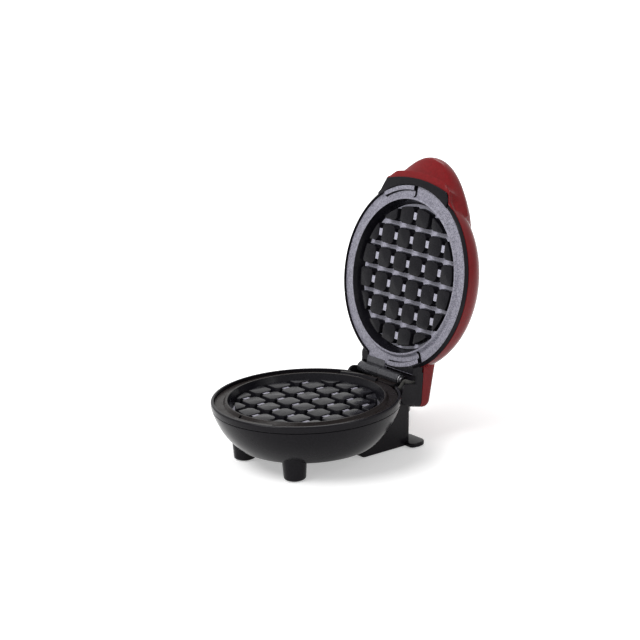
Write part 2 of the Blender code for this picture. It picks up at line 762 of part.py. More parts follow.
def bowl_point(share, inset=0):
    """(radius, height) on the bowl's side, from its top at 0 to its bottom edge at 1."""
    top = Vector((BOWL_TOP_RADIUS, -RIM_DEPTH - SEAM))
    bottom = Vector((BOWL_BOTTOM_RADIUS, -BOWL_DEPTH))
    along = (bottom - top).normalized()
    outward = Vector((-along.y, along.x))
    return top.lerp(bottom, share) + outward * (4 * BOWL_BULGE * share * (1 - share) - inset)


def bowl_side(inset=0):
    return [bowl_point(step / BOWL_STEPS, inset) for step in range(BOWL_STEPS + 1)]


def bowl_radius(height):
    top_z = -RIM_DEPTH - SEAM
    share = (height - top_z) / (-BOWL_DEPTH - top_z)
    return bowl_point(share).x


def base_bowl(frame):
    side = [tuple(point) for point in bowl_side()]
    bowl = turned("base_bowl", frame, [(0, side[0][1]), *side, (0, -BOWL_DEPTH)], "black_plastic")
    for label, x in (("left", -FOOT_X), ("right", FOOT_X)):
        low = (x, FOOT_Y, FLOOR_Z + FOOT_LIFT)
        high = (x, FOOT_Y, FOOT_TOP_Z)
        foot = bar(f"{label}_foot", frame, FOOT_RADIUS, low, high, None, 20, FOOT_TOP_RADIUS)
        join(bowl, foot)
    inner = [tuple(point) for point in bowl_side(WALL)]
    top = side[0][1] + OVERRUN
    floor = -BOWL_DEPTH + WALL
    inner = [(0, top), (inner[0][0], top), *inner[:-1], (inner[-1][0], floor), (0, floor)]
    hollow = turned("bowl_hollow", frame, inner)
    hollow.rotation_euler = (0, 0, math.pi / TURN_STEPS)
    cut(bowl, hollow)
    opening_ends = ((0, 0, -BOWL_DEPTH - OVERRUN), (0, 0, floor + OVERRUN))
    cut(bowl, bar("bottom_opening", frame, BOTTOM_OPENING_RADIUS, *opening_ends, None, 24))
    tongue_depth = LOWER_LIP_DEPTH + TONGUE_RECESS + TONGUE_THICKNESS + CLEARANCE
    low = (-OPENING_HALF_WIDTH, OPENING_START, -tongue_depth)
    cut(bowl, box("bowl_tongue_gap", frame, low, (OPENING_HALF_WIDTH, LID_RADIUS, top)))
    low = (-WIRE_OPENING_HALF_WIDTH, WIRE_OPENING_FRONT, WIRE_OPENING_BOTTOM)
    cut(bowl, box("bowl_wire_opening", frame, low, (WIRE_OPENING_HALF_WIDTH, LID_RADIUS, WIRE_OPENING_TOP)))
    return bowl


def foot_pad(name, frame, x, y, carrier):
    """A rubber pad that stands on the counter, let into the piece above it."""
    top = FLOOR_Z + PAD_THICKNESS
    bar(name, frame, PAD_RADIUS, (x, y, FLOOR_Z), (x, y, top), "rubber")
    pocket_radius = PAD_RADIUS + CLEARANCE
    pocket = bar(f"{name}_pocket", frame, pocket_radius, (x, y, FLOOR_Z), (x, y, top + CLEARANCE))
    cut(carrier, pocket)


def lower_bezel_ring(frame):
    top_inner = LOWER_PLATE_RADIUS + CLEARANCE
    face = -LOWER_LIP_DEPTH - SHELF_FACE
    back = -LOWER_LIP_DEPTH - SHELF_BACK
    shelf_inner = FLANGE_ROOT_RADIUS + CLEARANCE
    skirt_end = -RIM_DEPTH - SKIRT_DEPTH
    skirt_top_radius = BOWL_TOP_RADIUS - WALL - 2 * CLEARANCE
    skirt_end_radius = bowl_radius(skirt_end) - WALL - 2 * CLEARANCE
    profile = (
        (top_inner, -RIM_TOP_DROP),
        (RIM_TOP_RADIUS, -RIM_TOP_DROP),
        (RIM_SHOULDER_RADIUS, -RIM_SHOULDER_DROP),
        (BASE_RADIUS, -RIM_ROUND_DROP),
        (BASE_RADIUS, -RIM_FLAT_DROP),
        (RIM_FOOT_RADIUS, -RIM_DEPTH),
        (skirt_top_radius, -RIM_DEPTH),
        (skirt_end_radius, skirt_end),
        (skirt_end_radius - SKIRT_THICKNESS, skirt_end),
        (skirt_end_radius - SKIRT_THICKNESS, back),
        (shelf_inner, back),
        (shelf_inner, face),
        (top_inner, face),
    )
    ring = turned("lower_bezel_ring", frame, profile, "black_plastic", loop=True)
    low = (-OPENING_HALF_WIDTH, OPENING_START, skirt_end - OVERRUN)
    cut(ring, box("bezel_tongue_gap", frame, low, (OPENING_HALF_WIDTH, LID_RADIUS, OVERRUN)))
    return ring


def bottom_cover(frame, bowl):
    top = -BOWL_DEPTH - CLEARANCE
    bottom = top - COVER_THICKNESS
    edge = COVER_RADIUS - COVER_THICKNESS / 2
    profile = ((0, top), (COVER_RADIUS, top), (COVER_RADIUS, (top + bottom) / 2), (edge, bottom), (0, bottom))
    cover = turned("bottom_cover", frame, profile, "black_plastic", 32)
    for number, angle in enumerate(PLATE_SCREW_ANGLES, 1):
        seat = (COVER_SCREW_RADIUS * math.cos(angle), COVER_SCREW_RADIUS * math.sin(angle), bottom)
        screw(f"bottom_cover_screw_{number}", frame, seat, (0, 0, 1), COVER_SCREW_LENGTH, (cover, bowl))


def pedestal_outline(inset, bottom, top):
    """The pedestal's side view as (y, z) points."""
    front = PEDESTAL_FRONT + inset
    corner = PEDESTAL_CORNER - inset
    corner_z = FLOOR_Z + PEDESTAL_LIFT + PEDESTAL_CORNER
    rear = [(PEDESTAL_FOOT_REACH - inset, bottom), (PEDESTAL_TOP_REACH - inset, top)]
    if inset:
        return [(front, top), (front, bottom), *rear]
    return [(front, top), *arc((front + corner, corner_z), corner, 180, 270), *rear]


def hinge_pedestal(frame):
    bottom = FLOOR_Z + PEDESTAL_LIFT
    outline = pedestal_outline(0, bottom, PEDESTAL_TOP_Z)
    half = PEDESTAL_HALF_WIDTH
    pedestal = extruded("hinge_pedestal", frame, (outline,), "X", -half, half, "black_plastic")
    hollow_top = PEDESTAL_TOP_Z - WALL
    hollow = pedestal_outline(WALL, bottom - OVERRUN, hollow_top)
    inner = half - WALL
    cut(pedestal, extruded("pedestal_hollow", frame, (hollow,), "X", -inner, inner))
    foot_boss_low = FLOOR_Z + PEDESTAL_LIFT + FOOT_PLATE_THICKNESS + CLEARANCE
    for label, y, boss_top in (
        ("bowl", PEDESTAL_SCREW_Y, -BOWL_DEPTH + OVERRUN),
        ("foot", FOOT_SCREW_Y, foot_boss_low + FOOT_BOSS_HEIGHT),
    ):
        for side, sign in (("left", -1), ("right", 1)):
            x = sign * PEDESTAL_SCREW_X
            boss = bar(f"{side}_{label}_boss", frame, BOSS_RADIUS, (x, y, foot_boss_low), (x, y, boss_top))
            near, far = sorted((x, sign * (inner + WALL / 2)))
            low = (near, y - WEB_THICKNESS / 2, foot_boss_low + CLEARANCE)
            high = (far, y + WEB_THICKNESS / 2, boss_top - CLEARANCE)
            join(pedestal, boss, box(f"{side}_{label}_web", frame, low, high))
    side_line = [tuple(point) for point in bowl_side(-CLEARANCE)]
    rim = BASE_RADIUS + CLEARANCE
    envelope = [(0, OVERRUN), (rim, OVERRUN), (rim, side_line[0][1]), *side_line]
    envelope.append((side_line[-1][0], -BOWL_DEPTH - CLEARANCE))
    envelope.append((0, -BOWL_DEPTH - CLEARANCE))
    cut(pedestal, turned("bowl_envelope", frame, envelope))
    low = (-half - OVERRUN, FOOT_PLATE_FRONT - CLEARANCE, FLOOR_Z - OVERRUN)
    high = (half + OVERRUN, FOOT_PLATE_BACK, foot_boss_low)
    cut(pedestal, box("foot_plate_gap", frame, low, high))
    hole_radius = SLEEVE_DIAMETER / 2 + SLEEVE_HOLE_MARGIN
    ends = [(BASE_SLEEVE_X, BASE_SLEEVE_Y, z) for z in (hollow_top - OVERRUN, PEDESTAL_TOP_Z + OVERRUN)]
    cut(pedestal, bar("base_sleeve_hole", frame, hole_radius, *ends))
    low = (RELIEF_X, PEDESTAL_FOOT_REACH - 2 * WALL, RELIEF_Z)
    high = (RELIEF_X, PEDESTAL_TOP_REACH + OVERRUN, RELIEF_Z)
    cut(pedestal, bar("relief_hole", frame, RELIEF_NECK_RADIUS + CLEARANCE, low, high))
    return pedestal


def foot_plate(frame):
    """The flat foot: a rounded tab behind the pedestal and a panel that closes its underside."""
    low_z = FLOOR_Z + PEDESTAL_LIFT
    high_z = low_z + FOOT_PLATE_THICKNESS
    half, corner = FOOT_PLATE_HALF_WIDTH, FOOT_PLATE_CORNER
    front, back = FOOT_PLATE_FRONT, FOOT_PLATE_BACK
    panel_half = PEDESTAL_HALF_WIDTH - WALL - CLEARANCE
    panel_front = PEDESTAL_FRONT + WALL + CLEARANCE
    outline = [
        (-panel_half, panel_front),
        (panel_half, panel_front),
        (panel_half, front + CLEARANCE),
        *arc((half - corner / 2, front + corner / 2), corner / 2, -90, 0),
        *arc((half - corner, back - corner), corner, 0, 90),
        *arc((-half + corner, back - corner), corner, 90, 180),
        *arc((-half + corner / 2, front + corner / 2), corner / 2, 180, 270),
        (-panel_half, front + CLEARANCE),
    ]
    return extruded("foot_plate", frame, (outline,), "Z", low_z, high_z, "black_plastic")


def pedestal_screws(frame, pedestal, plate, bowl):
    plate_bottom = FLOOR_Z + PEDESTAL_LIFT
    for side, x in (("left", -PEDESTAL_SCREW_X), ("right", PEDESTAL_SCREW_X)):
        seat = (x, PEDESTAL_SCREW_Y, -BOWL_DEPTH + WALL)
        screw(f"pedestal_screw_{side}", frame, seat, (0, 0, -1), TALL_SCREW_LENGTH, (bowl, pedestal))
        seat = (x, FOOT_SCREW_Y, plate_bottom + SCREW_HEAD_HEIGHT + CLEARANCE)
        screw(f"foot_plate_screw_{side}", frame, seat, (0, 0, 1), TALL_SCREW_LENGTH, (plate, pedestal), True)


def hinge_pin(frame):
    """The pin through both knuckles, its head on the left, and the clip in its right end."""
    head_end = BARREL_LEFT_X - CLEARANCE
    pin_end = BARREL_RIGHT_X + PIN_END_LENGTH
    clip_start = BARREL_RIGHT_X + CLEARANCE
    groove_radius = PIN_RADIUS - STRIP / 2
    clip_bore = groove_radius + CLEARANCE
    profile = (
        (0, pin_end),
        (PIN_RADIUS, pin_end),
        (PIN_RADIUS, clip_start + CLIP_THICKNESS + CLEARANCE),
        (groove_radius, clip_start + CLIP_THICKNESS + CLEARANCE),
        (groove_radius, clip_start - CLEARANCE),
        (PIN_RADIUS, clip_start - CLEARANCE),
        (PIN_RADIUS, head_end),
        (PIN_HEAD_RADIUS, head_end),
        (PIN_HEAD_RADIUS, head_end - PIN_HEAD_LENGTH),
        (0, head_end - PIN_HEAD_LENGTH),
    )
    pin = turned("hinge_pin", frame, profile, "steel", SMALL_TURN_STEPS)
    ring = (
        (clip_bore, clip_start + CLIP_THICKNESS),
        (CLIP_RADIUS, clip_start + CLIP_THICKNESS),
        (CLIP_RADIUS, clip_start),
        (clip_bore, clip_start),
    )
    clip = turned("pin_clip", frame, ring, "steel", SMALL_TURN_STEPS, loop=True)
    low = (-PIN_RADIUS * 0.6, 0, clip_start - OVERRUN)
    high = (PIN_RADIUS * 0.6, CLIP_RADIUS * 2, clip_start + CLIP_THICKNESS + OVERRUN)
    slot = box("clip_mouth", frame, low, high)
    cut(clip, slot)
    for obj in (pin, clip, slot):
        obj.location = (0, HINGE_REACH, HINGE_Z)
        obj.rotation_euler = (0, math.pi / 2, 0)


def strain_relief(frame):
    wall_y = PEDESTAL_FOOT_REACH + (PEDESTAL_TOP_REACH - PEDESTAL_FOOT_REACH) * (RELIEF_Z - FLOOR_Z) / RIM_HEIGHT
    gap = CLEARANCE * 2
    profile = (
        (0, RELIEF_LENGTH),
        (RELIEF_TIP_RADIUS, RELIEF_LENGTH),
        (RELIEF_NECK_RADIUS + CLEARANCE, RELIEF_COLLAR_LENGTH + gap),
        (RELIEF_COLLAR_RADIUS, RELIEF_COLLAR_LENGTH + gap),
        (RELIEF_COLLAR_RADIUS, gap),
        (RELIEF_NECK_RADIUS, gap),
        (RELIEF_NECK_RADIUS, -WALL - gap),
        (RELIEF_COLLAR_RADIUS, -WALL - gap),
        (RELIEF_COLLAR_RADIUS, -WALL - gap - RELIEF_FLANGE_LENGTH),
        (0, -WALL - gap - RELIEF_FLANGE_LENGTH),
    )
    relief = turned("cord_strain_relief", frame, profile, "cord_jacket", 20)
    relief.location = (RELIEF_X, wall_y, RELIEF_Z)
    relief.rotation_euler = (-math.pi / 2, 0, 0)
    return wall_y - WALL - gap - RELIEF_FLANGE_LENGTH


def inner_wiring(frame, relief_back, plate):
    """The cord's end inside the pedestal, the clamp over it and the two crimps."""
    deck = FLOOR_Z + PEDESTAL_LIFT + FOOT_PLATE_THICKNESS
    lie = deck + CLEARANCE + CORD_DIAMETER / 2
    start = (RELIEF_X, relief_back - CLEARANCE, RELIEF_Z)
    route = (
        (RELIEF_X, relief_back - CORD_DIAMETER / 2, RELIEF_Z),
        (RELIEF_X * 0.95, CLAMP_Y, lie + CLAMP_RAISE),
        (RELIEF_X * 0.85, CLAMP_Y - CLAMP_WIDTH, lie),
        (RELIEF_X * 0.5, CLAMP_Y - 3 * CLAMP_WIDTH, lie),
    )
    points = [start, *smooth_points(route, CORD_DIAMETER)]
    tube("mains_tail", frame, points, CORD_DIAMETER, "cord_jacket", CORD_SIDE_LEVEL)

    centre = (RELIEF_X * 0.95, lie + CLAMP_RAISE)
    inner = CORD_DIAMETER / 2 + 4 * CLEARANCE
    outer = inner + CLAMP_THICKNESS
    foot = deck + CLEARANCE
    ear = outer + CLAMP_EAR
    outline = [
        (centre[0] + ear, foot),
        (centre[0] + inner, foot),
        *arc(centre, inner, 0, 180, 6),
        (centre[0] - inner, foot),
        (centre[0] - outer, foot),
        *arc(centre, outer, 180, 30, 5),
        (centre[0] + outer, foot + CLAMP_THICKNESS),
        (centre[0] + ear, foot + CLAMP_THICKNESS),
    ]
    ends = (CLAMP_Y - CLAMP_WIDTH / 2, CLAMP_Y + CLAMP_WIDTH / 2)
    clamp = extruded("cord_clamp", frame, (outline,), "Y", *ends, "white_nylon")
    seat = (centre[0] + (outer + ear) / 2, CLAMP_Y, foot + CLAMP_THICKNESS)
    screw("cord_clamp_screw", frame, seat, (0, 0, -1), COVER_SCREW_LENGTH, (clamp, plate))

    for label, x in CRIMP_XS.items():
        z = deck + CLEARANCE + CRIMP_RADIUS
        ends = ((x, CRIMP_Y, z), (x, CRIMP_Y + CRIMP_LENGTH, z))
        bar(f"wire_connector_{label}", frame, CRIMP_RADIUS, *ends, "white_nylon", 12, CRIMP_TIP_RADIUS)


def base_sleeve(frame):
    x, y, turn = BASE_SLEEVE_X, BASE_SLEEVE_Y, SLEEVE_DIAMETER
    axis = (HINGE_REACH, HINGE_Z)
    route = (
        (SLEEVE_JOINT_X - CLEARANCE / 2, *axis),
        (x + turn / 3, *axis),
        (x, axis[0] - turn / 4, axis[1] - turn / 3),
        (x, axis[0] - turn, axis[1] - turn * 1.2),
        (x, y, PEDESTAL_TOP_Z + turn * 0.4),
        (x, y, PEDESTAL_TOP_Z - WALL),
        (x, y, PEDESTAL_TOP_Z - WALL - 2 * turn),
    )
    tube("harness_sleeve_base", frame, route, SLEEVE_DIAMETER, "glass_fibre_sleeve", 1)


def lid_sleeve(frame):
    x, turn = LID_SLEEVE_X, SLEEVE_DIAMETER
    low = HINGE_BEHIND_LIP
    route = (
        (SLEEVE_JOINT_X + CLEARANCE / 2, HINGE_REACH, low),
        (x - turn / 2, HINGE_REACH, low),
        (x - turn / 8, HINGE_REACH, low + turn / 8),
        (x, HINGE_REACH, low + turn / 2),
        (x, HINGE_REACH, low + 3 * turn),
    )
    tube("harness_sleeve_lid", frame, route, SLEEVE_DIAMETER, "glass_fibre_sleeve", 1)


def dome_profile(inset, edge):
    """The dome from its top down to the height of its edge."""
    radius = LID_RADIUS - inset
    height = DOME_HEIGHT - inset
    points = []
    for share in DOME_STEP_SHARES[:-1]:
        angle = share * math.pi / 2
        across = math.sin(angle) ** (2 / DOME_POWER)
        up = math.cos(angle) ** (2 / DOME_POWER)
        points.append((radius * across, DOME_BASE + height * up))
    return [*points, (radius, edge), (0, edge)]


def tail_seam(y):
    return TAIL_SEAM_HEIGHT + TAIL_SEAM_SLOPE * (y - TAIL_SEAM_REACH)


def tail_stations(inset=0):
    """(y, half width, top) of the tail, rounded off at its back."""
    corner = TAIL_CORNER - inset
    side = TAIL_SIDE_CORNER - inset
    half = TAIL_HALF_WIDTH - inset
    back = TAIL_REACH - TAIL_CORNER
    top = TAIL_TOP - TAIL_CORNER
    stations = []
    for angle in (0, 35, 65, 90):
        across, up = math.sin(math.radians(angle)), math.cos(math.radians(angle))
        stations.append((back + corner * across, half - side * (1 - up), top + corner * up))
    return stations


def tail_solid(name, frame, inset, drop):
    rings = []
    first = (TAIL_ROOT, *tail_stations(inset)[0][1:])
    for y, half, top in (first, *tail_stations(inset)):
        low = tail_seam(y) - drop
        corner = min(TAIL_EDGE_CORNER - inset, (top - tail_seam(y)) / 2)
        right = [(half, low), *arc((half - corner, top - corner), corner, 0, 90, 3)]
        rings.append([(x, y, z) for x, z in [*right, *((-x, z) for x, z in reversed(right))]])
    return loft(name, frame, rings)


def hood_ring(share, inset, drop):
    """The handle's cross-section at a share of its half width, as (reach, height) points."""
    x = share * HOOD_HALF_WIDTH
    nose = HOOD_REACH - (HOOD_REACH - HOOD_SIDE_REACH) * share**2 - inset
    if abs(x) <= BRIM_HALF_WIDTH * 1.01:
        brim = BRIM_REACH - (BRIM_REACH - BRIM_END_REACH) * (x / BRIM_HALF_WIDTH) ** 2
    else:
        along = (abs(x) - BRIM_HALF_WIDTH) / (HOOD_HALF_WIDTH - BRIM_HALF_WIDTH)
        brim = BRIM_BACK_REACH + (HOOD_SIDE_REACH - CLEARANCE - BRIM_BACK_REACH) * along
    brim -= BRIM_WALL * inset / WALL
    top = HOOD_TOP - HOOD_SIDE_DROP * share**2 - inset
    crest = math.sqrt(HOOD_CREST_RADIUS**2 - x**2) - inset
    return [
        (HOOD_ROOT, -drop),
        (brim, -drop),
        (nose, HOOD_NOSE_LOW + inset / 3),
        (nose, HOOD_NOSE_HIGH - inset / 3),
        (nose - HOOD_TOP_SETBACK / 3, top - HOOD_TOP_SETBACK / 2),
        (nose - HOOD_TOP_SETBACK, top),
        (crest - 2 * CLEARANCE, HOOD_CREST - inset),
        (HOOD_ROOT / 2, HOOD_CREST - inset),
    ]


def hood_solid(name, frame, inset, drop):
    shares = [-share for share in reversed(HOOD_STATION_SHARES[1:])] + list(HOOD_STATION_SHARES)
    squeeze = (HOOD_HALF_WIDTH - inset) / HOOD_HALF_WIDTH
    rings = []
    for share in shares:
        x = share * HOOD_HALF_WIDTH * squeeze
        rings.append([(x, -reach, height) for reach, height in hood_ring(share, inset, drop)])
    return loft(name, frame, rings)


def lid_shell(frame):
    shell = turned("lid_shell", frame, dome_profile(0, SHELL_EDGE), "red_plastic")
    join(shell, tail_solid("tail_outside", frame, 0, 0))
    join(shell, hood_solid("hood_outside", frame, 0, 0))
    low = (0, 0, -OVERRUN)
    room_radius = BEZEL_EDGE_RADIUS + CLEARANCE
    cut(shell, bar("bezel_room", frame, room_radius, low, (0, 0, SHELL_EDGE), None, TURN_STEPS))
    step_radius = BEZEL_STEP_RADIUS + CLEARANCE
    cut(shell, bar("bezel_step", frame, step_radius, low, (0, 0, SHELL_STEP), None, TURN_STEPS))
    room_half = TAIL_HALF_WIDTH + CLEARANCE
    low = (-room_half, OPENING_START, -OVERRUN)
    cut(shell, box("tray_room", frame, low, (room_half, HINGE_REACH, SHELL_STEP)))
    cut(shell, turned("dome_hollow", frame, dome_profile(WALL, DOME_BASE)))
    cut(shell, tail_solid("tail_hollow", frame, WALL, TAIL_HOLLOW_DROP))
    cut(shell, hood_solid("hood_hollow", frame, WALL, OVERRUN))
    boss_low = TRAY_BOTTOM + TRAY_BOSS_HEIGHT + CLEARANCE
    for side, x in (("left", -TAIL_SCREW_X), ("right", TAIL_SCREW_X)):
        low, high = (x, TAIL_SCREW_Y, boss_low), (x, TAIL_SCREW_Y, TAIL_TOP - WALL / 2)
        join(shell, bar(f"{side}_tail_boss", frame, BOSS_RADIUS, low, high))
    return shell


def tray_solid(name, frame):
    rings = []
    first = (TRAY_STEP_REACH, *tail_stations()[0][1:])
    for y, half, _ in (first, *tail_stations()):
        top = tail_seam(y) - CLEARANCE
        rings.append([(-half, y, TRAY_BOTTOM), (half, y, TRAY_BOTTOM), (half, y, top), (-half, y, top)])
    return loft(name, frame, rings)


def cheek(name, frame, sign):
    """A lobe that hangs from the tail's underside and flanks the pedestal."""
    inner = PEDESTAL_HALF_WIDTH + CHEEK_GAP
    outer = TAIL_HALF_WIDTH
    front, back = HINGE_REACH - CLEARANCE, TAIL_REACH - TAIL_SIDE_CORNER / 2
    low, corner = -CHEEK_DEPTH, CHEEK_CORNER
    outline = [
        (front, TRAY_BOTTOM + OVERRUN),
        *arc((front + corner, low + corner), corner, 180, 270),
        *arc((back - corner, low + corner), corner, 270, 360),
        (back, TRAY_BOTTOM + OVERRUN),
    ]
    ends = sorted((sign * inner, sign * outer))
    return extruded(name, frame, (outline,), "X", *ends)


def visor_solid(frame):
    """The flat web between the bezel and the handle's brim."""
    outline = []
    for share in (-1, -0.6, -0.2, 0.2, 0.6, 1):
        x = share * (BRIM_HALF_WIDTH - 2 * BRIM_WALL)
        reach = BRIM_REACH - (BRIM_REACH - BRIM_END_REACH) * share**2 - BRIM_WALL - CLEARANCE
        outline.append((x, -reach))
    back = -UPPER_PLATE_RADIUS * 0.8
    outline = [(outline[0][0], back), *outline, (outline[-1][0], back)]
    return extruded("visor", frame, (outline,), "Z", VISOR_BOTTOM, VISOR_BOTTOM + VISOR_THICKNESS)


def lid_inner_housing(frame):
    tip_inner = UPPER_PLATE_RADIUS + CLEARANCE
    shelf_inner = FLANGE_ROOT_RADIUS + CLEARANCE
    skirt_outer = LID_RADIUS - WALL - 2 * CLEARANCE
    skirt_inner = skirt_outer - SKIRT_THICKNESS
    edge = SHELL_EDGE - CLEARANCE
    step = SHELL_STEP - CLEARANCE
    skirt_top = SHELF_BACK + INNER_SKIRT_HEIGHT
    profile = (
        (skirt_inner, skirt_top),
        (skirt_outer, skirt_top),
        (skirt_outer, step),
        (BEZEL_STEP_RADIUS, step),
        (BEZEL_STEP_RADIUS, edge),
        (BEZEL_EDGE_RADIUS, edge),
        (BEZEL_FLARE_RADIUS, BEZEL_FLARE_HEIGHT),
        (tip_inner + BEZEL_TIP_WIDTH, BEZEL_TIP),
        (tip_inner, BEZEL_TIP),
        (tip_inner, SHELF_FACE),
        (shelf_inner, SHELF_FACE),
        (shelf_inner, SHELF_BACK),
        (skirt_inner, SHELF_BACK),
    )
    housing = turned("lid_inner_housing", frame, profile, "black_plastic", loop=True)
    join(housing, visor_solid(frame))
    low = (-TAIL_HALF_WIDTH, TRAY_FRONT, TRAY_BOTTOM)
    join(housing, box("tray_front", frame, low, (TAIL_HALF_WIDTH, TRAY_STEP_REACH + OVERRUN, step)))
    join(housing, tray_solid("tray", frame))
    join(housing, cheek("left_cheek", frame, -1), cheek("right_cheek", frame, 1))
    ends = ((0, 0, -OVERRUN), (0, 0, SHELF_FACE))
    cut(housing, bar("plate_pocket", frame, tip_inner - CLEARANCE / 3, *ends, None, TURN_STEPS))
    channel_front = HINGE_REACH - BARREL_RADIUS - CHANNEL_MARGIN
    low = (-OPENING_HALF_WIDTH, OPENING_START, -OVERRUN)
    cut(housing, box("lid_tongue_gap", frame, low, (OPENING_HALF_WIDTH, channel_front + OVERRUN, 3 * SHELF_BACK)))
    channel_half = PEDESTAL_HALF_WIDTH + CHEEK_GAP
    channel_top = HINGE_BEHIND_LIP + BARREL_RADIUS + CHANNEL_MARGIN
    low = (-channel_half, channel_front, -OVERRUN)
    high = (channel_half, HINGE_REACH + BARREL_RADIUS + CHANNEL_MARGIN, channel_top)
    cut(housing, box("barrel_channel", frame, low, high))
    inner_half = TAIL_HALF_WIDTH - WALL
    low = (-inner_half, high[1] + WALL, TRAY_BOTTOM + TRAY_FLOOR)
    inner_high = (inner_half, TAIL_REACH - WALL, TAIL_TOP)
    cut(housing, box("tray_hollow", frame, low, inner_high))
    for side, x in (("left", -TAIL_SCREW_X), ("right", TAIL_SCREW_X)):
        low, high = (x, TAIL_SCREW_Y, TRAY_BOTTOM + OVERRUN), (x, TAIL_SCREW_Y, TRAY_BOTTOM + TRAY_BOSS_HEIGHT)
        join(housing, bar(f"{side}_tray_boss", frame, BOSS_RADIUS, low, high))
    hole_radius = SLEEVE_DIAMETER / 2 + SLEEVE_HOLE_MARGIN
    ends = [(LID_SLEEVE_X, HINGE_REACH, z) for z in (channel_top - OVERRUN, TAIL_TOP)]
    cut(housing, bar("lid_sleeve_hole", frame, hole_radius, *ends))
    return housing


def power_light(frame, shell):
    bottom = -LENS_FLANGE_DEPTH - LENS_FLANGE_THICKNESS
    profile = (
        (0, LENS_PROUD),
        (LENS_RADIUS / 2, LENS_PROUD - CLEARANCE / 2),
        (LENS_RADIUS, LENS_PROUD - 2 * CLEARANCE),
        (LENS_RADIUS, -LENS_FLANGE_DEPTH),
        (LENS_FLANGE_RADIUS, -LENS_FLANGE_DEPTH),
        (LENS_FLANGE_RADIUS, bottom),
        (0, bottom),
    )
    lens = turned("indicator_lens", frame, profile, "clear_red", SMALL_TURN_STEPS)
    hole_radius = LENS_RADIUS + CLEARANCE
    hole = bar("lens_hole", frame, hole_radius, (0, 0, -2 * WALL), (0, 0, 2 * WALL))
    cut(shell, hole)
    top = bottom - CLEARANCE
    lamp = bar("indicator_lamp", frame, LAMP_RADIUS, (0, 0, top - LAMP_LENGTH), (0, 0, top), "lamp_glass", 12)
    for obj in (lens, hole, lamp):
        obj.location = LENS_CENTRE
        obj.rotation_euler = (LENS_TILT, 0, 0)


def lid_screws(frame, housing, shell):
    for side, x in (("left", -TAIL_SCREW_X), ("right", TAIL_SCREW_X)):
        seat = (x, TAIL_SCREW_Y, TRAY_BOTTOM + SCREW_HEAD_HEIGHT + CLEARANCE)
        screw(f"lid_screw_{side}", frame, seat, (0, 0, 1), TALL_SCREW_LENGTH, (housing, shell), True)


def coil_state(turn):
    """(radius, height) of the coil's centreline after this many turns."""
    flat_turns = (COIL_TURNS - COIL_CLIMB_TURNS) / 2
    outer = COIL_MEAN_RADIUS + COIL_PITCH * flat_turns / 2
    inner = outer - COIL_PITCH * flat_turns
    if turn <= flat_turns:
        return outer - COIL_PITCH * turn, COIL_BOTTOM_Z
    if turn >= flat_turns + COIL_CLIMB_TURNS:
        return inner + COIL_PITCH * (turn - flat_turns - COIL_CLIMB_TURNS), COIL_BOTTOM_Z + COIL_LAYER_HEIGHT
    share = (turn - flat_turns) / COIL_CLIMB_TURNS
    return inner, COIL_BOTTOM_Z + COIL_LAYER_HEIGHT * share**2 * (3 - 2 * share)


def coil_point(turn):
    radius, height = coil_state(turn)
    angle = COIL_START_ANGLE + 2 * math.pi * turn
    return Vector(
        (COIL_CENTRE[0] + radius * math.cos(angle), COIL_CENTRE[1] + radius * math.sin(angle), height)
    )


def coil_direction(turn):
    angle = COIL_START_ANGLE + 2 * math.pi * turn
    return Vector((-math.sin(angle), math.cos(angle), 0))


def coil_route():
    count = round(COIL_TURNS * COIL_STEPS_A_TURN)
    loops = [coil_point(COIL_TURNS * step / count) for step in range(count + 1)]
    lead_in = loops[0] - coil_direction(0) * CORD_DIAMETER
    onward = coil_direction(COIL_TURNS) * COIL_LEAD_OUT
    drop = Vector((0, 0, COIL_LEAD_OUT_DROP))
    lead_out = [loops[-1] + onward * along - drop * down for along, down in LEAD_OUT_SHARES]
    return [lead_in, *loops, *lead_out]


def print_least_gap(points):
    """Prints how near the coil's tube comes to itself, past its own bend."""
    least = min(
        (far - near).length
        for i, near in enumerate(points)
        for far in points[i + COIL_STEPS_A_TURN // 2 :]
    )
    print(f"coil: least gap between turns {1000 * (least - CORD_DIAMETER):.2f} mm")


def cord_tie():
    """A band round the coil's strands."""
    low = COIL_BOTTOM_Z - CORD_DIAMETER / 2 - CLEARANCE
    high = COIL_BOTTOM_Z + COIL_LAYER_HEIGHT + CORD_DIAMETER / 2 + CLEARANCE
    wall = TIE_THICKNESS
    hole = [(TIE_INNER_RADIUS, low), (TIE_OUTER_RADIUS, low), (TIE_OUTER_RADIUS, high), (TIE_INNER_RADIUS, high)]
    outside = [
        (TIE_INNER_RADIUS - wall, low - wall),
        (TIE_OUTER_RADIUS + wall, low - wall),
        (TIE_OUTER_RADIUS + wall, high + wall),
        (TIE_INNER_RADIUS - wall, high + wall),
    ]
    tie = extruded("cord_tie", None, (outside, hole), "Y", -TIE_WIDTH / 2, TIE_WIDTH / 2, "rubber")
    tie.location = (*COIL_CENTRE, 0)
    tie.rotation_euler = (0, 0, TIE_ANGLE)


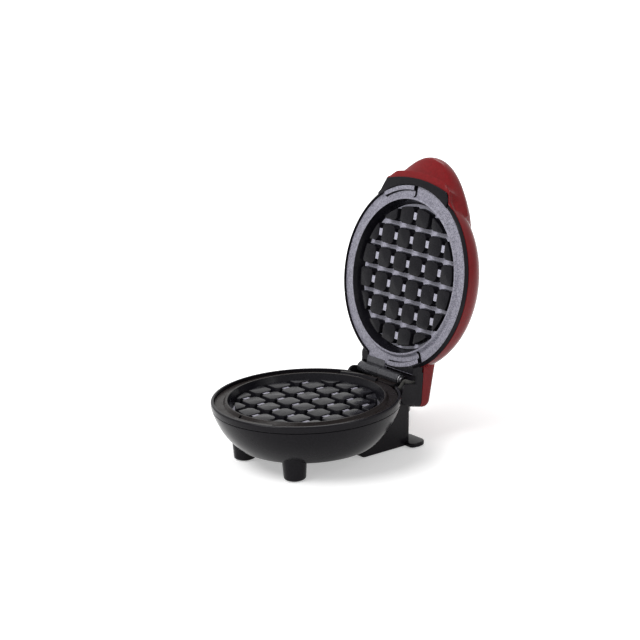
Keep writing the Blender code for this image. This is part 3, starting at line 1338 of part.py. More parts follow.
def plug(frame):
    """The plug, drawn from the cord's end at its frame's origin along +X."""
    rings = []
    for along, half_width, half_thickness in PLUG_SECTIONS:
        ring = []
        for step in range(PLUG_SIDES):
            angle = 2 * math.pi * (step + 0.5) / PLUG_SIDES
            across, up = math.cos(angle), math.sin(angle)
            across = math.copysign(abs(across) ** (2 / PLUG_SECTION_POWER), across)
            up = math.copysign(abs(up) ** (2 / PLUG_SECTION_POWER), up)
            ring.append((along, half_width * across, half_thickness * up))
        rings.append(ring)
    body = loft("plug_body", frame, rings, "cord_jacket")
    face = PLUG_SECTIONS[-1][0]
    tip = face + BLADE_LENGTH
    half = BLADE_WIDTH / 2
    for label, side in (("left", 1), ("right", -1)):
        y = side * BLADE_SPACING / 2
        start = face - BLADE_ROOT
        outline = [
            (start, -half),
            (tip - BLADE_TIP_CHAMFER, -half),
            (tip, -half + BLADE_TIP_CHAMFER),
            (tip, half - BLADE_TIP_CHAMFER),
            (tip - BLADE_TIP_CHAMFER, half),
            (start, half),
        ]
        hole = arc((tip - BLADE_HOLE_SETBACK, 0), BLADE_HOLE_RADIUS, 0, 330, 11)
        ends = (y - BLADE_THICKNESS / 2, y + BLADE_THICKNESS / 2)
        extruded(f"plug_blade_{label}", frame, (outline, hole), "Y", *ends, "blade_metal")
        low = (start - CLEARANCE, ends[0] - CLEARANCE, -half - CLEARANCE)
        high = (face + OVERRUN, ends[1] + CLEARANCE, half + CLEARANCE)
        cut(body, box(f"{label}_blade_pocket", frame, low, high))


def build_base(frame, plate_frame):
    lower_knuckle = (-BARREL_RIGHT_X, -BARREL_SPLIT_X - CLEARANCE / 2)
    plate = waffle_plate("lower_plate", plate_frame, LOWER_PLATE_RADIUS, lower_knuckle, lower_knuckle)
    reflector, back = heater("lower", plate_frame, plate)
    thermostat(plate_frame)
    bracket = thermostat_bracket(plate_frame)
    length = POST_HEIGHT
    screw("lower_reflector_screw", plate_frame, (0, 0, back), (0, 0, -1), length, (reflector, bracket, plate))
    ring = lower_bezel_ring(frame)
    plate_screws("lower", plate_frame, plate, ring)

    bowl = base_bowl(frame)
    bottom_cover(frame, bowl)
    for side, x in (("left", -FOOT_X), ("right", FOOT_X)):
        foot_pad(f"front_foot_pad_{side}", frame, x, FOOT_Y, bowl)
    pedestal = hinge_pedestal(frame)
    foot = foot_plate(frame)
    pedestal_screws(frame, pedestal, foot, bowl)
    for side, x in (("left", -REAR_PAD_X), ("right", REAR_PAD_X)):
        foot_pad(f"rear_foot_pad_{side}", frame, x, REAR_PAD_Y, foot)
    hinge_pin(frame)
    inner_wiring(frame, strain_relief(frame), foot)
    base_sleeve(frame)


def build_lid(frame):
    upper_knuckle = (BARREL_LEFT_X, BARREL_SPLIT_X - CLEARANCE / 2)
    tongue = (-TONGUE_HALF_WIDTH, TONGUE_HALF_WIDTH)
    plate = waffle_plate("upper_plate", frame, UPPER_PLATE_RADIUS, upper_knuckle, tongue)
    reflector, back = heater("upper", frame, plate)
    thermal_fuse(frame)
    clip = thermal_fuse_clip(frame)
    screw("upper_reflector_screw", frame, (0, 0, back), (0, 0, -1), POST_HEIGHT, (reflector, clip, plate))
    housing = lid_inner_housing(frame)
    plate_screws("upper", frame, plate, housing)
    shell = lid_shell(frame)
    power_light(frame, shell)
    lid_screws(frame, housing, shell)
    lid_sleeve(frame)


def build_cord():
    free = [CORD_ROUTE[0], *smooth_points(CORD_ROUTE[1:-1], CORD_POINT_SPACING), CORD_ROUTE[-1]]
    tube("cord_free", None, free, CORD_DIAMETER, "cord_jacket", CORD_SIDE_LEVEL)
    coil = coil_route()
    print_least_gap(coil)
    tube("cord_coil", None, coil, CORD_DIAMETER, "cord_jacket", COIL_SIDE_LEVEL)
    cord_tie()
    onward = coil_direction(COIL_TURNS)
    heading = math.atan2(onward.y, onward.x)
    plug(empty("plug_frame", None, coil[-1] + onward * CLEARANCE, (0, 0, heading)))


def main():
    start_scene()
    base = empty("base_frame", None, (0, BASE_CENTRE_Y, RIM_HEIGHT))
    lower = empty("lower_plate_frame", base, (0, 0, -LOWER_LIP_DEPTH), (0, math.pi, 0))
    hinge = empty("lid_hinge", base, (0, HINGE_REACH, HINGE_Z), (-OPEN_ANGLE, 0, 0))
    lid = empty("lid_frame", hinge, (0, -HINGE_REACH, UPPER_LIP_Z - HINGE_Z))
    build_base(base, lower)
    build_lid(lid)
    build_cord()


main()
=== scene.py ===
"""The looks of the round waffle maker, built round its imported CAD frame, in metres."""

import json
import math

import bmesh
import bpy
from mathutils import Matrix, Vector


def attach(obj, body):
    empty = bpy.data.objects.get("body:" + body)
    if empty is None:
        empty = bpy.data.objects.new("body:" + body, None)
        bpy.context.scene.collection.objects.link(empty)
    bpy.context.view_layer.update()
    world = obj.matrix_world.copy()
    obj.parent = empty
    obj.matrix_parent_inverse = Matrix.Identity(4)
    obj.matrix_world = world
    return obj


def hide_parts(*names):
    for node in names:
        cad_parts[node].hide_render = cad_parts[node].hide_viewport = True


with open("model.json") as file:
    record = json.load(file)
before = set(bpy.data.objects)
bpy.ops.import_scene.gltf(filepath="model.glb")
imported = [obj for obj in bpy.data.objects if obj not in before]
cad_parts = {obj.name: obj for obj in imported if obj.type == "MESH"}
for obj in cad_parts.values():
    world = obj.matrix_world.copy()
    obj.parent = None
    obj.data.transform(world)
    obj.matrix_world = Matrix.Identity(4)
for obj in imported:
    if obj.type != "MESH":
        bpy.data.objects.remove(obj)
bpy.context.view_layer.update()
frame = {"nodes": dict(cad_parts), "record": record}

# Fits and fineness
GAP = 0.0003
OVER = 0.001
TURN_STEPS = 144
SMALL_STEPS = 48
CORNER_STEPS = 4
SHARP_ANGLE = math.radians(32)

# Whole appliance
BASE_RADIUS = 0.0616
LID_RADIUS = 0.0625
RIM_HEIGHT = 0.0425
BASE_CENTRE_Y = -0.0289
OPEN_ANGLE = math.radians(103.4)
WALL = 0.0022
FLOOR_Z = -RIM_HEIGHT

# Plates
LIP_RADIUS = 0.0508
LIP_OUTER_RADIUS = 0.0519
CAVITY_FLOOR_RADIUS = 0.048
CAVITY_DEPTH = 0.0078
CASTING_WALL = 0.003
FLANGE_THICKNESS = 0.0028
FLANGE_ROOT_RADIUS = 0.0536
FLANGE_STEP_RADIUS = 0.0535
FLANGE_STEP = 0.0019
RIB_RADIUS = 0.057
RIB_TOP = 0.0002
RIB_SLOPE = 0.0009
RIB_ARCS = ((-121.6, -91.5), (60.5, 91))
STUD_PITCH = 0.016
STUD_TOP = (0.0126, 0.0127)
STUD_SPREAD = 0.0006
STUD_CHAMFER = 0.002
STUD_HEIGHT = 0.005
STUD_ROUND = 0.0005
STUD_FIELD_RADIUS = 0.046
STUD_LEAST_REMAINS = 0.002
STUD_RAYS = 48
CELLS_ACROSS = 6
BRIDGE_LENGTH = 0.0047
BRIDGE_DROP = 0.0006
NOTCH_WIDTH = 0.002
NOTCH_DEPTH = 0.0026
NOTCH_ANGLES = (-91, 60)
LOWER_LIP_DEPTH = 0.0009
PLATE_GAP = 0.0005
RIM_INSET = 0.0023
LID_PLATE_INSET = 0.0025
POST_RADIUS = 0.0045
POST_HEIGHT = 0.007

# Hinge
HINGE_REACH = 0.0665
BARREL_RADIUS = 0.0039
BARREL_LEFT_X = -0.0262
BARREL_SPLIT_X = -0.005
BARREL_RIGHT_X = 0.0152
PIN_RADIUS = 0.0019
PIN_HEAD_RADIUS = 0.003
PIN_HEAD_LENGTH = 0.0007
PIN_END_LENGTH = 0.0016
PIN_ROUND = 0.0003
CLIP_RADIUS = 0.0034
CLIP_BORE = 0.0018
CLIP_THICKNESS = 0.0006
TONGUE_HALF_WIDTH = 0.0235
TONGUE_RECESS = 0.0023
TONGUE_THICKNESS = 0.0034
TONGUE_ROOT_REACH = 0.0505
TONGUE_END = 0.0617
STRAP_THICKNESS = 0.0022
STRAP_LENGTH = 0.0085

# Screws
SCREW_HEAD_RADIUS = 0.0018
SCREW_HEAD_HEIGHT = 0.0015
SCREW_SHANK_RADIUS = 0.001
RECESS_HALF_WIDTH = 0.00026
RECESS_DEPTH = 0.0008
PLATE_SCREW_RADIUS = 0.055
PLATE_SCREW_LENGTH = 0.0027
PLATE_SCREW_ANGLES = (30, 150, 270)
COVER_SCREW_LENGTH = 0.0036
TALL_SCREW_LENGTH = 0.008

# Bowl and its ring
RIM_DEPTH = 0.0051
SEAM = 0.0004
SKIRT_THICKNESS = 0.0009
SKIRT_DEPTH = 0.0019
BOWL_TOP_RADIUS = 0.0612
BOWL_BOTTOM_RADIUS = 0.0445
BOWL_DEPTH = 0.031
BOWL_BULGE = 0.0024
BOWL_STEPS = 20
BOWL_EDGE_ROUND = 0.002
BOTTOM_OPENING_RADIUS = 0.017
COVER_RADIUS = 0.0215
COVER_THICKNESS = 0.0016
COVER_SCREW_RADIUS = 0.0193
WIRE_OPENING = (0.009, 0.047, -0.022, -0.014)
FOOT_X = 0.027
FOOT_Y = -0.031
FOOT_RADIUS = 0.00715
FOOT_TOP_RADIUS = 0.0083
FOOT_TOP_Z = -0.025
FOOT_LIFT = 0.0006
FOOT_ROUND = 0.0016
PAD_RADIUS = 0.005
PAD_THICKNESS = 0.0012
PAD_ROUND = 0.0004

# Pedestal and foot plate
PEDESTAL_HALF_WIDTH = 0.027
PEDESTAL_FRONT = 0.0223
PEDESTAL_TOP_REACH = 0.0643
PEDESTAL_FOOT_REACH = 0.0628
PEDESTAL_TOP_Z = -0.0072
PEDESTAL_CORNER = 0.004
PEDESTAL_EDGE = 0.001
PEDESTAL_SCREW_X = 0.0213
PEDESTAL_SCREW_Y = 0.0345
FOOT_SCREW_Y = 0.052
FOOT_PLATE_HALF_WIDTH = 0.034
FOOT_PLATE_FRONT = 0.0595
FOOT_PLATE_BACK = 0.0728
FOOT_PLATE_CORNER = 0.006
FOOT_PLATE_THICKNESS = 0.0027
FOOT_PLATE_EDGE = 0.0005
REAR_PAD_X = 0.028
REAR_PAD_Y = 0.0662
BASE_SLEEVE_X = 0.019
BASE_SLEEVE_Y = 0.0602
SLEEVE_DIAMETER = 0.003
SLEEVE_JOINT_X = 0.0215
LID_SLEEVE_X = 0.0245
SLEEVE_HOLE_RADIUS = 0.0021

# Lid shell, with the hood of its handle and its tail
SHELL_EDGE = 0.0026
SHELL_STEP = 0.0049
DOME_BASE = 0.003
DOME_HEIGHT = 0.025
DOME_POWER = 2.6
DOME_STEPS = 30
TAIL_HALF_WIDTH = 0.0292
TAIL_REACH = 0.082
TAIL_ROOT = 0.040
TAIL_TOP = 0.017
TAIL_CORNER = 0.005
TAIL_SIDE_CORNER = 0.003
TAIL_EDGE_CORNER = 0.004
TAIL_SEAM_REACH = 0.054
TAIL_SEAM_HEIGHT = 0.0056
TAIL_SEAM_SLOPE = 0.124
TAIL_HOLLOW_DROP = 0.003
TAIL_SCREW_X = 0.019
TAIL_SCREW_Y = 0.0767
BOSS_RADIUS = 0.0029
HOOD_REACH = 0.0795
HOOD_HALF_WIDTH = 0.039
HOOD_SIDE_REACH = 0.048
HOOD_ROOT = 0.030
HOOD_NOSE_LOW = 0.009
HOOD_NOSE_HIGH = 0.0145
HOOD_TOP = 0.0205
HOOD_TOP_SETBACK = 0.0045
HOOD_SIDE_DROP = 0.0025
HOOD_CREST = 0.0235
HOOD_CREST_RADIUS = 0.050
HOOD_END_ROUND = 0.004
HOOD_STATIONS = 44
BRIM_REACH = 0.065
BRIM_END_REACH = 0.0605
BRIM_HALF_WIDTH = 0.0316
BRIM_BACK_REACH = 0.054
BRIM_BACK_X = 0.0331
BRIM_WALL = 0.0016
BRIM_ROUND = 0.0005
BRIM_FRONT = 0.0008
BRIM_LIP = (0.0042, 0.0021)
BRIM_GROOVE = (0.0011, 0.0039)
BRIM_LIP_FADE = 0.009
BRIM_LIP_LEAST = 0.3
HOLLOW_STEP = (0.001, 0.0045)
HOLLOW_NOSE_INSET = 0.003
NOSE_ROUND = 0.003

# Lid inner housing
BEZEL_TIP = 0.0005
BEZEL_TIP_WIDTH = 0.0004
BEZEL_FLARE_RADIUS = 0.0621
BEZEL_FLARE_HEIGHT = 0.0018
BEZEL_EDGE_RADIUS = 0.0624
BEZEL_STEP_RADIUS = 0.0612
INNER_SKIRT_HEIGHT = 0.0015
SHELF_THICKNESS = 0.0016
VISOR_BOTTOM = 0.0006
VISOR_FACE = -0.0003
VISOR_LEFT = -0.0368
VISOR_RIGHT = 0.0325
VISOR_THICKNESS = 0.002
TRAY_BOTTOM = 0.0016
TRAY_FLOOR = 0.002
TRAY_BOSS_HEIGHT = 0.004
TRAY_FRONT = 0.052
TRAY_STEP_REACH = 0.0585
CHANNEL_MARGIN = 0.001
CHEEK_DEPTH = 0.0094
CHEEK_GAP = 0.0004
CHEEK_CORNER = 0.005
CHEEK_EDGE = 0.0004

# Power light
LENS_CENTRE = (0, -0.062, 0.022)
LENS_TILT = math.radians(6.7)
LENS_RADIUS = 0.003
LENS_PROUD = 0.0008
LENS_FLANGE_RADIUS = 0.0042
LENS_FLANGE_DEPTH = 0.003
LENS_FLANGE_THICKNESS = 0.0009

# Mains cord
CORD_DIAMETER = 0.006
RELIEF_X = -0.0125
RELIEF_Z = -0.034
RELIEF_NECK_RADIUS = 0.004
RELIEF_COLLAR_RADIUS = 0.0048
RELIEF_COLLAR_LENGTH = 0.0028
RELIEF_LENGTH = 0.0164
RELIEF_TIP_RADIUS = 0.0036
RELIEF_FLANGE_LENGTH = 0.002
RELIEF_RIBS = 5
CLAMP_Y = 0.0515
CLAMP_RAISE = 0.0009
CLAMP_WIDTH = 0.006
CORD_ROUTE = (
    (-0.0125, 0.0509, 0.0085),
    (-0.0125, 0.0569, 0.0085),
    (-0.0136, 0.0616, 0.0081),
    (-0.0182, 0.0684, 0.0066),
    (-0.0250, 0.0732, 0.0052),
    (-0.0335, 0.0765, 0.0045),
    (-0.0460, 0.0801, 0.0043),
    (-0.0581, 0.08335, 0.0043),
    (-0.0639, 0.0849, 0.0043),
)
COIL_CENTRE = (-0.0797, 0.0501)
COIL_MEAN_RADIUS = 0.033
COIL_PITCH = 0.0077
COIL_LAYER_HEIGHT = 0.0066
COIL_BOTTOM_Z = 0.0043
COIL_START_ANGLE = math.radians(75)
COIL_TURNS = 2.9375
COIL_CLIMB_TURNS = 0.5
COIL_STEPS_A_TURN = 48
COIL_LEAD_OUT = 0.034
LEAD_OUT_SHARES = ((0.25, 0), (0.55, 0.15), (0.8, 1), (1, 1))
COIL_LEAD_OUT_DROP = 0.0016
TIE_ANGLE = math.radians(200)
TIE_THICKNESS = 0.0008
TIE_WIDTH = 0.007
TIE_INNER_RADIUS = 0.0242
TIE_OUTER_RADIUS = 0.0388
TIE_ROUND = 0.0016

# Plug: distance from the cord's end, half width and half thickness of each section
PLUG_NECK = ((0, 0.0045, 0.0045), (0.022, 0.0062, 0.0058))
PLUG_BODY = (
    (0.0223, 0.0080, 0.0064),
    (0.0229, 0.0083, 0.0067),
    (0.0268, 0.0086, 0.0068),
    (0.0274, 0.0098, 0.0071),
    (0.0296, 0.0108, 0.0075),
    (0.0330, 0.0117, 0.0078),
    (0.0380, 0.0119, 0.0079),
    (0.0452, 0.0120, 0.0080),
    (0.0457, 0.0127, 0.0085),
    (0.0462, 0.0134, 0.0089),
    (0.0484, 0.0135, 0.0090),
    (0.0489, 0.0132, 0.0087),
    (0.0490, 0.0128, 0.0083),
)
PLUG_RIBS = 6
PLUG_RIB_DEPTH = 0.0008
PLUG_SIDES = 56
PLUG_SECTION_POWER = 2.6
PLUG_LENGTH = 0.049
BLADE_SPACING = 0.0127
BLADE_THICKNESS = 0.0015
BLADE_WIDTH = 0.0063
BLADE_LENGTH = 0.0165
BLADE_ROOT = 0.003
BLADE_TIP_CHAMFER = 0.0012
BLADE_HOLE_RADIUS = 0.0016
BLADE_HOLE_SETBACK = 0.0048
BLADE_EDGE = 0.0002

# Camera, as fitted to the photograph
EYE = Vector((1.2131, -0.9280, 0.5358))
TARGET = Vector((-0.00341, 0.0075, 0.08498))
ROLL = math.radians(-1.86)
SENSOR = 36
LENS = 138.54
SHIFT_X = -0.0390625

UPPER_LIP_Z = -LOWER_LIP_DEPTH + PLATE_GAP
HINGE_Z = -LOWER_LIP_DEPTH + PLATE_GAP / 2
HINGE_BEHIND_LIP = -PLATE_GAP / 2
PLATE_BACK = CAVITY_DEPTH + CASTING_WALL
SHELF_FACE = FLANGE_THICKNESS + GAP
SHELF_BACK = SHELF_FACE + SHELF_THICKNESS
LOWER_PLATE_RADIUS = BASE_RADIUS - RIM_INSET
UPPER_PLATE_RADIUS = LID_RADIUS - LID_PLATE_INSET
OPENING_HALF_WIDTH = TONGUE_HALF_WIDTH + GAP
OPENING_START = TONGUE_ROOT_REACH - GAP

WORLD = Matrix.Identity(4)
BASE = Matrix.Translation((0, BASE_CENTRE_Y, RIM_HEIGHT))
LOWER = BASE @ Matrix.Translation((0, 0, -LOWER_LIP_DEPTH)) @ Matrix.Rotation(math.pi, 4, "Y")
HINGE = BASE @ Matrix.Translation((0, HINGE_REACH, HINGE_Z)) @ Matrix.Rotation(-OPEN_ANGLE, 4, "X")
LID = HINGE @ Matrix.Translation((0, -HINGE_REACH, UPPER_LIP_Z - HINGE_Z))


# Camera, light and floor


def set_camera():
    forward = (TARGET - EYE).normalized()
    right = forward.cross(Vector((0, 0, 1))).normalized()
    up = right.cross(forward)
    across = right * math.cos(ROLL) + up * math.sin(ROLL)
    upward = up * math.cos(ROLL) - right * math.sin(ROLL)
    camera = bpy.data.cameras.new("camera")
    camera.sensor_width = SENSOR
    camera.lens = LENS
    camera.shift_x = SHIFT_X
    camera.clip_start = 0.01
    camera.clip_end = 50
    obj = bpy.data.objects.new("camera", camera)
    matrix = Matrix((across, upward, -forward)).transposed().to_4x4()
    obj.matrix_world = Matrix.Translation(EYE) @ matrix
    bpy.context.scene.collection.objects.link(obj)
    bpy.context.scene.camera = obj


def area_light(name, location, target, size, power):
    light = bpy.data.lights.new(name, "AREA")
    light.shape = "RECTANGLE"
    light.size, light.size_y = size
    light.energy = power
    obj = bpy.data.objects.new(name, light)
    obj.location = location
    way = Vector(target) - Vector(location)
    obj.rotation_mode = "QUATERNION"
    obj.rotation_quaternion = way.to_track_quat("-Z", "Y")
    bpy.context.scene.collection.objects.link(obj)


def seen_rays(nodes, links):
    """1 for camera, glossy and transmission rays, and 0 for the rays that light the object."""
    path = nodes.new("ShaderNodeLightPath")
    seen = path.outputs["Is Camera Ray"]
    for ray in ("Is Glossy Ray", "Is Transmission Ray"):
        either = nodes.new("ShaderNodeMath")
        either.operation = "MAXIMUM"
        links.new(seen, either.inputs[0])
        links.new(path.outputs[ray], either.inputs[1])
        seen = either.outputs["Value"]
    return seen


def set_light():
    middle = (0, 0, 0.07)
    area_light("key", (-0.1, -0.8, 1.05), middle, (0.7, 0.6), 10)
    area_light("side", (1.15, 0.35, 0.7), middle, (0.35, 0.8), 1.6)
    area_light("back", (-0.6, 0.65, 1.1), middle, (0.6, 0.4), 3)
    world = bpy.data.worlds.new("studio")
    bpy.context.scene.world = world
    world.use_nodes = True
    nodes, links = world.node_tree.nodes, world.node_tree.links
    ambient = nodes["Background"]
    ambient.inputs["Color"].default_value = (1, 1, 1, 1)
    ambient.inputs["Strength"].default_value = 0.38
    backdrop = nodes.new("ShaderNodeBackground")
    backdrop.inputs["Color"].default_value = (1, 1, 1, 1)
    backdrop.inputs["Strength"].default_value = 1
    mix = nodes.new("ShaderNodeMixShader")
    links.new(seen_rays(nodes, links), mix.inputs["Fac"])
    links.new(ambient.outputs["Background"], mix.inputs[1])
    links.new(backdrop.outputs["Background"], mix.inputs[2])
    links.new(mix.outputs["Shader"], nodes["World Output"].inputs["Surface"])


def set_floor():
    """A pale floor, lifted to white where the camera sees it, that keeps the shadow."""
    half = 3
    mesh = bpy.data.meshes.new("floor")
    corners = [(-half, -half, 0), (half, -half, 0), (half, half, 0), (-half, half, 0)]
    mesh.from_pydata(corners, [], [(0, 1, 2, 3)])
    floor = bpy.data.objects.new("floor", mesh)
    bpy.context.scene.collection.objects.link(floor)
    material = bpy.data.materials.new("floor")
    material.use_nodes = True
    nodes, links = material.node_tree.nodes, material.node_tree.links
    shader = nodes["Principled BSDF"]
    shader.inputs["Base Color"].default_value = (0.86, 0.86, 0.86, 1)
    shader.inputs["Roughness"].default_value = 0.9
    shader.inputs["Specular IOR Level"].default_value = 0.1
    shader.inputs["Emission Color"].default_value = (1, 1, 1, 1)
    place = nodes.new("ShaderNodeTexCoord")
    reach = nodes.new("ShaderNodeVectorMath")
    reach.operation = "LENGTH"
    links.new(place.outputs["Object"], reach.inputs[0])
    fade = nodes.new("ShaderNodeMapRange")
    fade.inputs["From Min"].default_value = 0.06
    fade.inputs["From Max"].default_value = 0.26
    fade.inputs["To Min"].default_value = 0.4
    fade.inputs["To Max"].default_value = 1
    links.new(reach.outputs["Value"], fade.inputs["Value"])
    lift = nodes.new("ShaderNodeMath")
    lift.operation = "MULTIPLY"
    links.new(fade.outputs["Result"], lift.inputs[1])
    links.new(seen_rays(nodes, links), lift.inputs[0])
    links.new(lift.outputs["Value"], shader.inputs["Emission Strength"])
    mesh.materials.append(material)


# Materials


def material_of(name, dark, light, scale, rough, bump, metallic=0, kind="grain", stretch=None, **sockets):
    """A finish that varies between two colours and two roughnesses, over a bumpy surface."""
    material = bpy.data.materials.new(name)
    material.use_nodes = True
    nodes, links = material.node_tree.nodes, material.node_tree.links
    shader = nodes["Principled BSDF"]
    place = nodes.new("ShaderNodeTexCoord").outputs["Object"]
    if stretch:
        mapping = nodes.new("ShaderNodeMapping")
        mapping.inputs["Scale"].default_value = stretch
        links.new(place, mapping.inputs["Vector"])
        place = mapping.outputs["Vector"]
    fine = nodes.new("ShaderNodeTexNoise")
    fine.inputs["Scale"].default_value = scale
    fine.inputs["Detail"].default_value = 4
    fine.inputs["Roughness"].default_value = 0.6
    links.new(place, fine.inputs["Vector"])
    pattern = fine.outputs["Fac"]
    if kind == "speckle":
        cells = nodes.new("ShaderNodeTexVoronoi")
        cells.inputs["Scale"].default_value = scale * 0.8
        links.new(place, cells.inputs["Vector"])
        mix = nodes.new("ShaderNodeMix")
        mix.inputs["Factor"].default_value = 0.5
        links.new(pattern, mix.inputs["A"])
        links.new(cells.outputs["Color"], mix.inputs["B"])
        pattern = mix.outputs["Result"]
    if kind == "braid":
        waves = []
        for direction in ("DIAGONAL", "Z"):
            wave = nodes.new("ShaderNodeTexWave")
            wave.bands_direction = direction
            wave.inputs["Scale"].default_value = scale
            links.new(place, wave.inputs["Vector"])
            waves.append(wave.outputs["Fac"])
        weave = nodes.new("ShaderNodeMath")
        weave.operation = "MULTIPLY"
        links.new(waves[0], weave.inputs[0])
        links.new(waves[1], weave.inputs[1])
        pattern = weave.outputs["Value"]
    colours = nodes.new("ShaderNodeValToRGB")
    colours.color_ramp.elements[0].position = 0.3
    colours.color_ramp.elements[0].color = (*dark, 1)
    colours.color_ramp.elements[1].position = 0.7
    colours.color_ramp.elements[1].color = (*light, 1)
    links.new(pattern, colours.inputs["Fac"])
    links.new(colours.outputs["Color"], shader.inputs["Base Color"])
    broad = nodes.new("ShaderNodeTexNoise")
    broad.inputs["Scale"].default_value = scale / 14
    broad.inputs["Detail"].default_value = 3
    links.new(place, broad.inputs["Vector"])
    gloss = nodes.new("ShaderNodeMapRange")
    gloss.inputs["From Min"].default_value = 0.35
    gloss.inputs["From Max"].default_value = 0.65
    gloss.inputs["To Min"].default_value = rough[0]
    gloss.inputs["To Max"].default_value = rough[1]
    links.new(broad.outputs["Fac"], gloss.inputs["Value"])
    links.new(gloss.outputs["Result"], shader.inputs["Roughness"])
    relief = nodes.new("ShaderNodeBump")
    relief.inputs["Strength"].default_value = bump[0]
    relief.inputs["Distance"].default_value = bump[1]
    links.new(pattern, relief.inputs["Height"])
    links.new(relief.outputs["Normal"], shader.inputs["Normal"])
    shader.inputs["Metallic"].default_value = metallic
    for socket, value in sockets.items():
        shader.inputs[socket.replace("_", " ")].default_value = value
    return material


def make_materials():
    table = {
        "black_plastic": (
            (0.008, 0.007, 0.009), (0.013, 0.012, 0.015), 900, (0.13, 0.24), (0.08, 0.00006)),
        "red_plastic": (
            (0.18, 0.006, 0.008), (0.23, 0.008, 0.011), 500, (0.14, 0.24), (0.08, 0.00008)),
        "coat_dark": (
            (0.005, 0.005, 0.007), (0.014, 0.013, 0.017), 2600, (0.16, 0.28), (0.1, 0.00004), 0, "speckle"),
        "coat_rim": (
            (0.008, 0.006, 0.006), (0.022, 0.017, 0.016), 2600, (0.26, 0.38), (0.15, 0.00005), 0, "speckle"),
        # The next two are lighter copies of the dark non-stick coat above, painted light; the brighter second one
        # lifts the recessed cavity floors and bridge tops.
        "coat_painted_light": (
            (0.12, 0.115, 0.15), (0.42, 0.41, 0.49), 2300, (0.38, 0.5), (0.3, 0.00008), 0, "speckle"),
        "coat_painted_brighter_light": (
            (0.30, 0.295, 0.37), (0.62, 0.61, 0.72), 3200, (0.38, 0.5), (0.25, 0.00006), 0, "speckle"),
        "barrel": (
            (0.035, 0.035, 0.04), (0.08, 0.08, 0.09), 2200, (0.16, 0.26), (0.1, 0.00004), 0.6, "speckle"),
        "steel": (
            (0.38, 0.38, 0.40), (0.52, 0.52, 0.54), 600, (0.22, 0.36), (0.15, 0.00003), 1, "grain", (1, 1, 14)),
        "aluminised_sheet": (
            (0.45, 0.45, 0.47), (0.62, 0.62, 0.63), 300, (0.3, 0.45), (0.1, 0.00005), 0.9, "speckle"),
        "element_sheath": (
            (0.09, 0.08, 0.075), (0.2, 0.17, 0.15), 250, (0.4, 0.6), (0.2, 0.00005), 0.8),
        "rubber": (
            (0.018, 0.018, 0.018), (0.04, 0.04, 0.04), 1100, (0.65, 0.85), (0.4, 0.0001)),
        "cord_jacket": (
            (0.010, 0.010, 0.010), (0.02, 0.02, 0.021), 1000, (0.38, 0.52), (0.25, 0.00008)),
        "phenolic": (
            (0.035, 0.022, 0.018), (0.07, 0.05, 0.04), 700, (0.5, 0.7), (0.2, 0.00006)),
        "glass_fibre_sleeve": (
            (0.03, 0.03, 0.028), (0.11, 0.105, 0.1), 520, (0.7, 0.9), (0.8, 0.0002), 0, "braid"),
        "white_nylon": (
            (0.6, 0.6, 0.57), (0.74, 0.74, 0.71), 500, (0.4, 0.55), (0.1, 0.00005)),
        "blade_metal": (
            (0.55, 0.54, 0.5), (0.7, 0.69, 0.65), 500, (0.14, 0.26), (0.1, 0.00003), 1, "grain", (1, 9, 9)),
    }
    made = {name: material_of(name, *values) for name, values in table.items()}
    for name in ("black_plastic", "coat_dark", "coat_rim"):
        made[name].node_tree.nodes["Principled BSDF"].inputs["Specular IOR Level"].default_value = 0.1
    red = made["red_plastic"].node_tree.nodes["Principled BSDF"]
    red.inputs["Specular IOR Level"].default_value = 0.1
    red.inputs["Coat Weight"].default_value = 0.08
    red.inputs["Coat Roughness"].default_value = 0.08
    made["clear_red"] = material_of(
        "clear_red", (0.5, 0.012, 0.01), (0.62, 0.025, 0.02), 400, (0.06, 0.14), (0.05, 0.00005),
        Transmission_Weight=0.6, IOR=1.49)
    made["lamp_glass"] = material_of(
        "lamp_glass", (0.75, 0.35, 0.16), (0.85, 0.45, 0.22), 300, (0.05, 0.12), (0.05, 0.00005),
        Transmission_Weight=0.8, IOR=1.5)
    return made


# Shapes


def shape(bm):
    bmesh.ops.recalc_face_normals(bm, faces=bm.faces)
    if bm.calc_volume(signed=True) < 0:
        bmesh.ops.reverse_faces(bm, faces=bm.faces)
    mesh = bpy.data.meshes.new("shape")
    bm.to_mesh(mesh)
    bm.free()
    obj = bpy.data.objects.new("shape", mesh)
    bpy.context.scene.collection.objects.link(obj)
    return obj


def rounded(corners, closed=True, steps=CORNER_STEPS):
    """The outline through (a, b) or (a, b, reach) corners, those with a reach rounded off."""
    outline = []
    count = len(corners)
    for i, corner in enumerate(corners):
        here = Vector(corner[:2])
        if len(corner) < 3 or not corner[2] or (not closed and i in (0, count - 1)):
            outline.append(tuple(here))
            continue
        before = Vector(corners[i - 1][:2]) - here
        after = Vector(corners[(i + 1) % count][:2]) - here
        reach = min(corner[2], 0.48 * before.length, 0.48 * after.length)
        start = here + before.normalized() * reach
        end = here + after.normalized() * reach
        for step in range(steps + 1):
            t = step / steps
            outline.append(tuple(start * (1 - t) ** 2 + here * (2 * t * (1 - t)) + end * t**2))
    return outline


def turned(profile, steps=TURN_STEPS, closed=False):
    """A profile of (radius, height) points turned round Z."""
    bm = bmesh.new()
    rings = []
    for radius, height in profile:
        if radius < GAP / 100:
            rings.append([bm.verts.new((0, 0, height))])
            continue
        ring = []
        for step in range(steps):
            angle = 2 * math.pi * step / steps
            ring.append(bm.verts.new((radius * math.cos(angle), radius * math.sin(angle), height)))
        rings.append(ring)
    pairs = list(zip(rings, rings[1:]))
    if closed:
        pairs.append((rings[-1], rings[0]))
    for near, far in pairs:
        for i in range(steps):
            j = (i + 1) % steps
            face = [near[i % len(near)], near[j % len(near)], far[j % len(far)], far[i % len(far)]]
            face = list(dict.fromkeys(face))
            if len(face) > 2:
                bm.faces.new(face)
    return shape(bm)


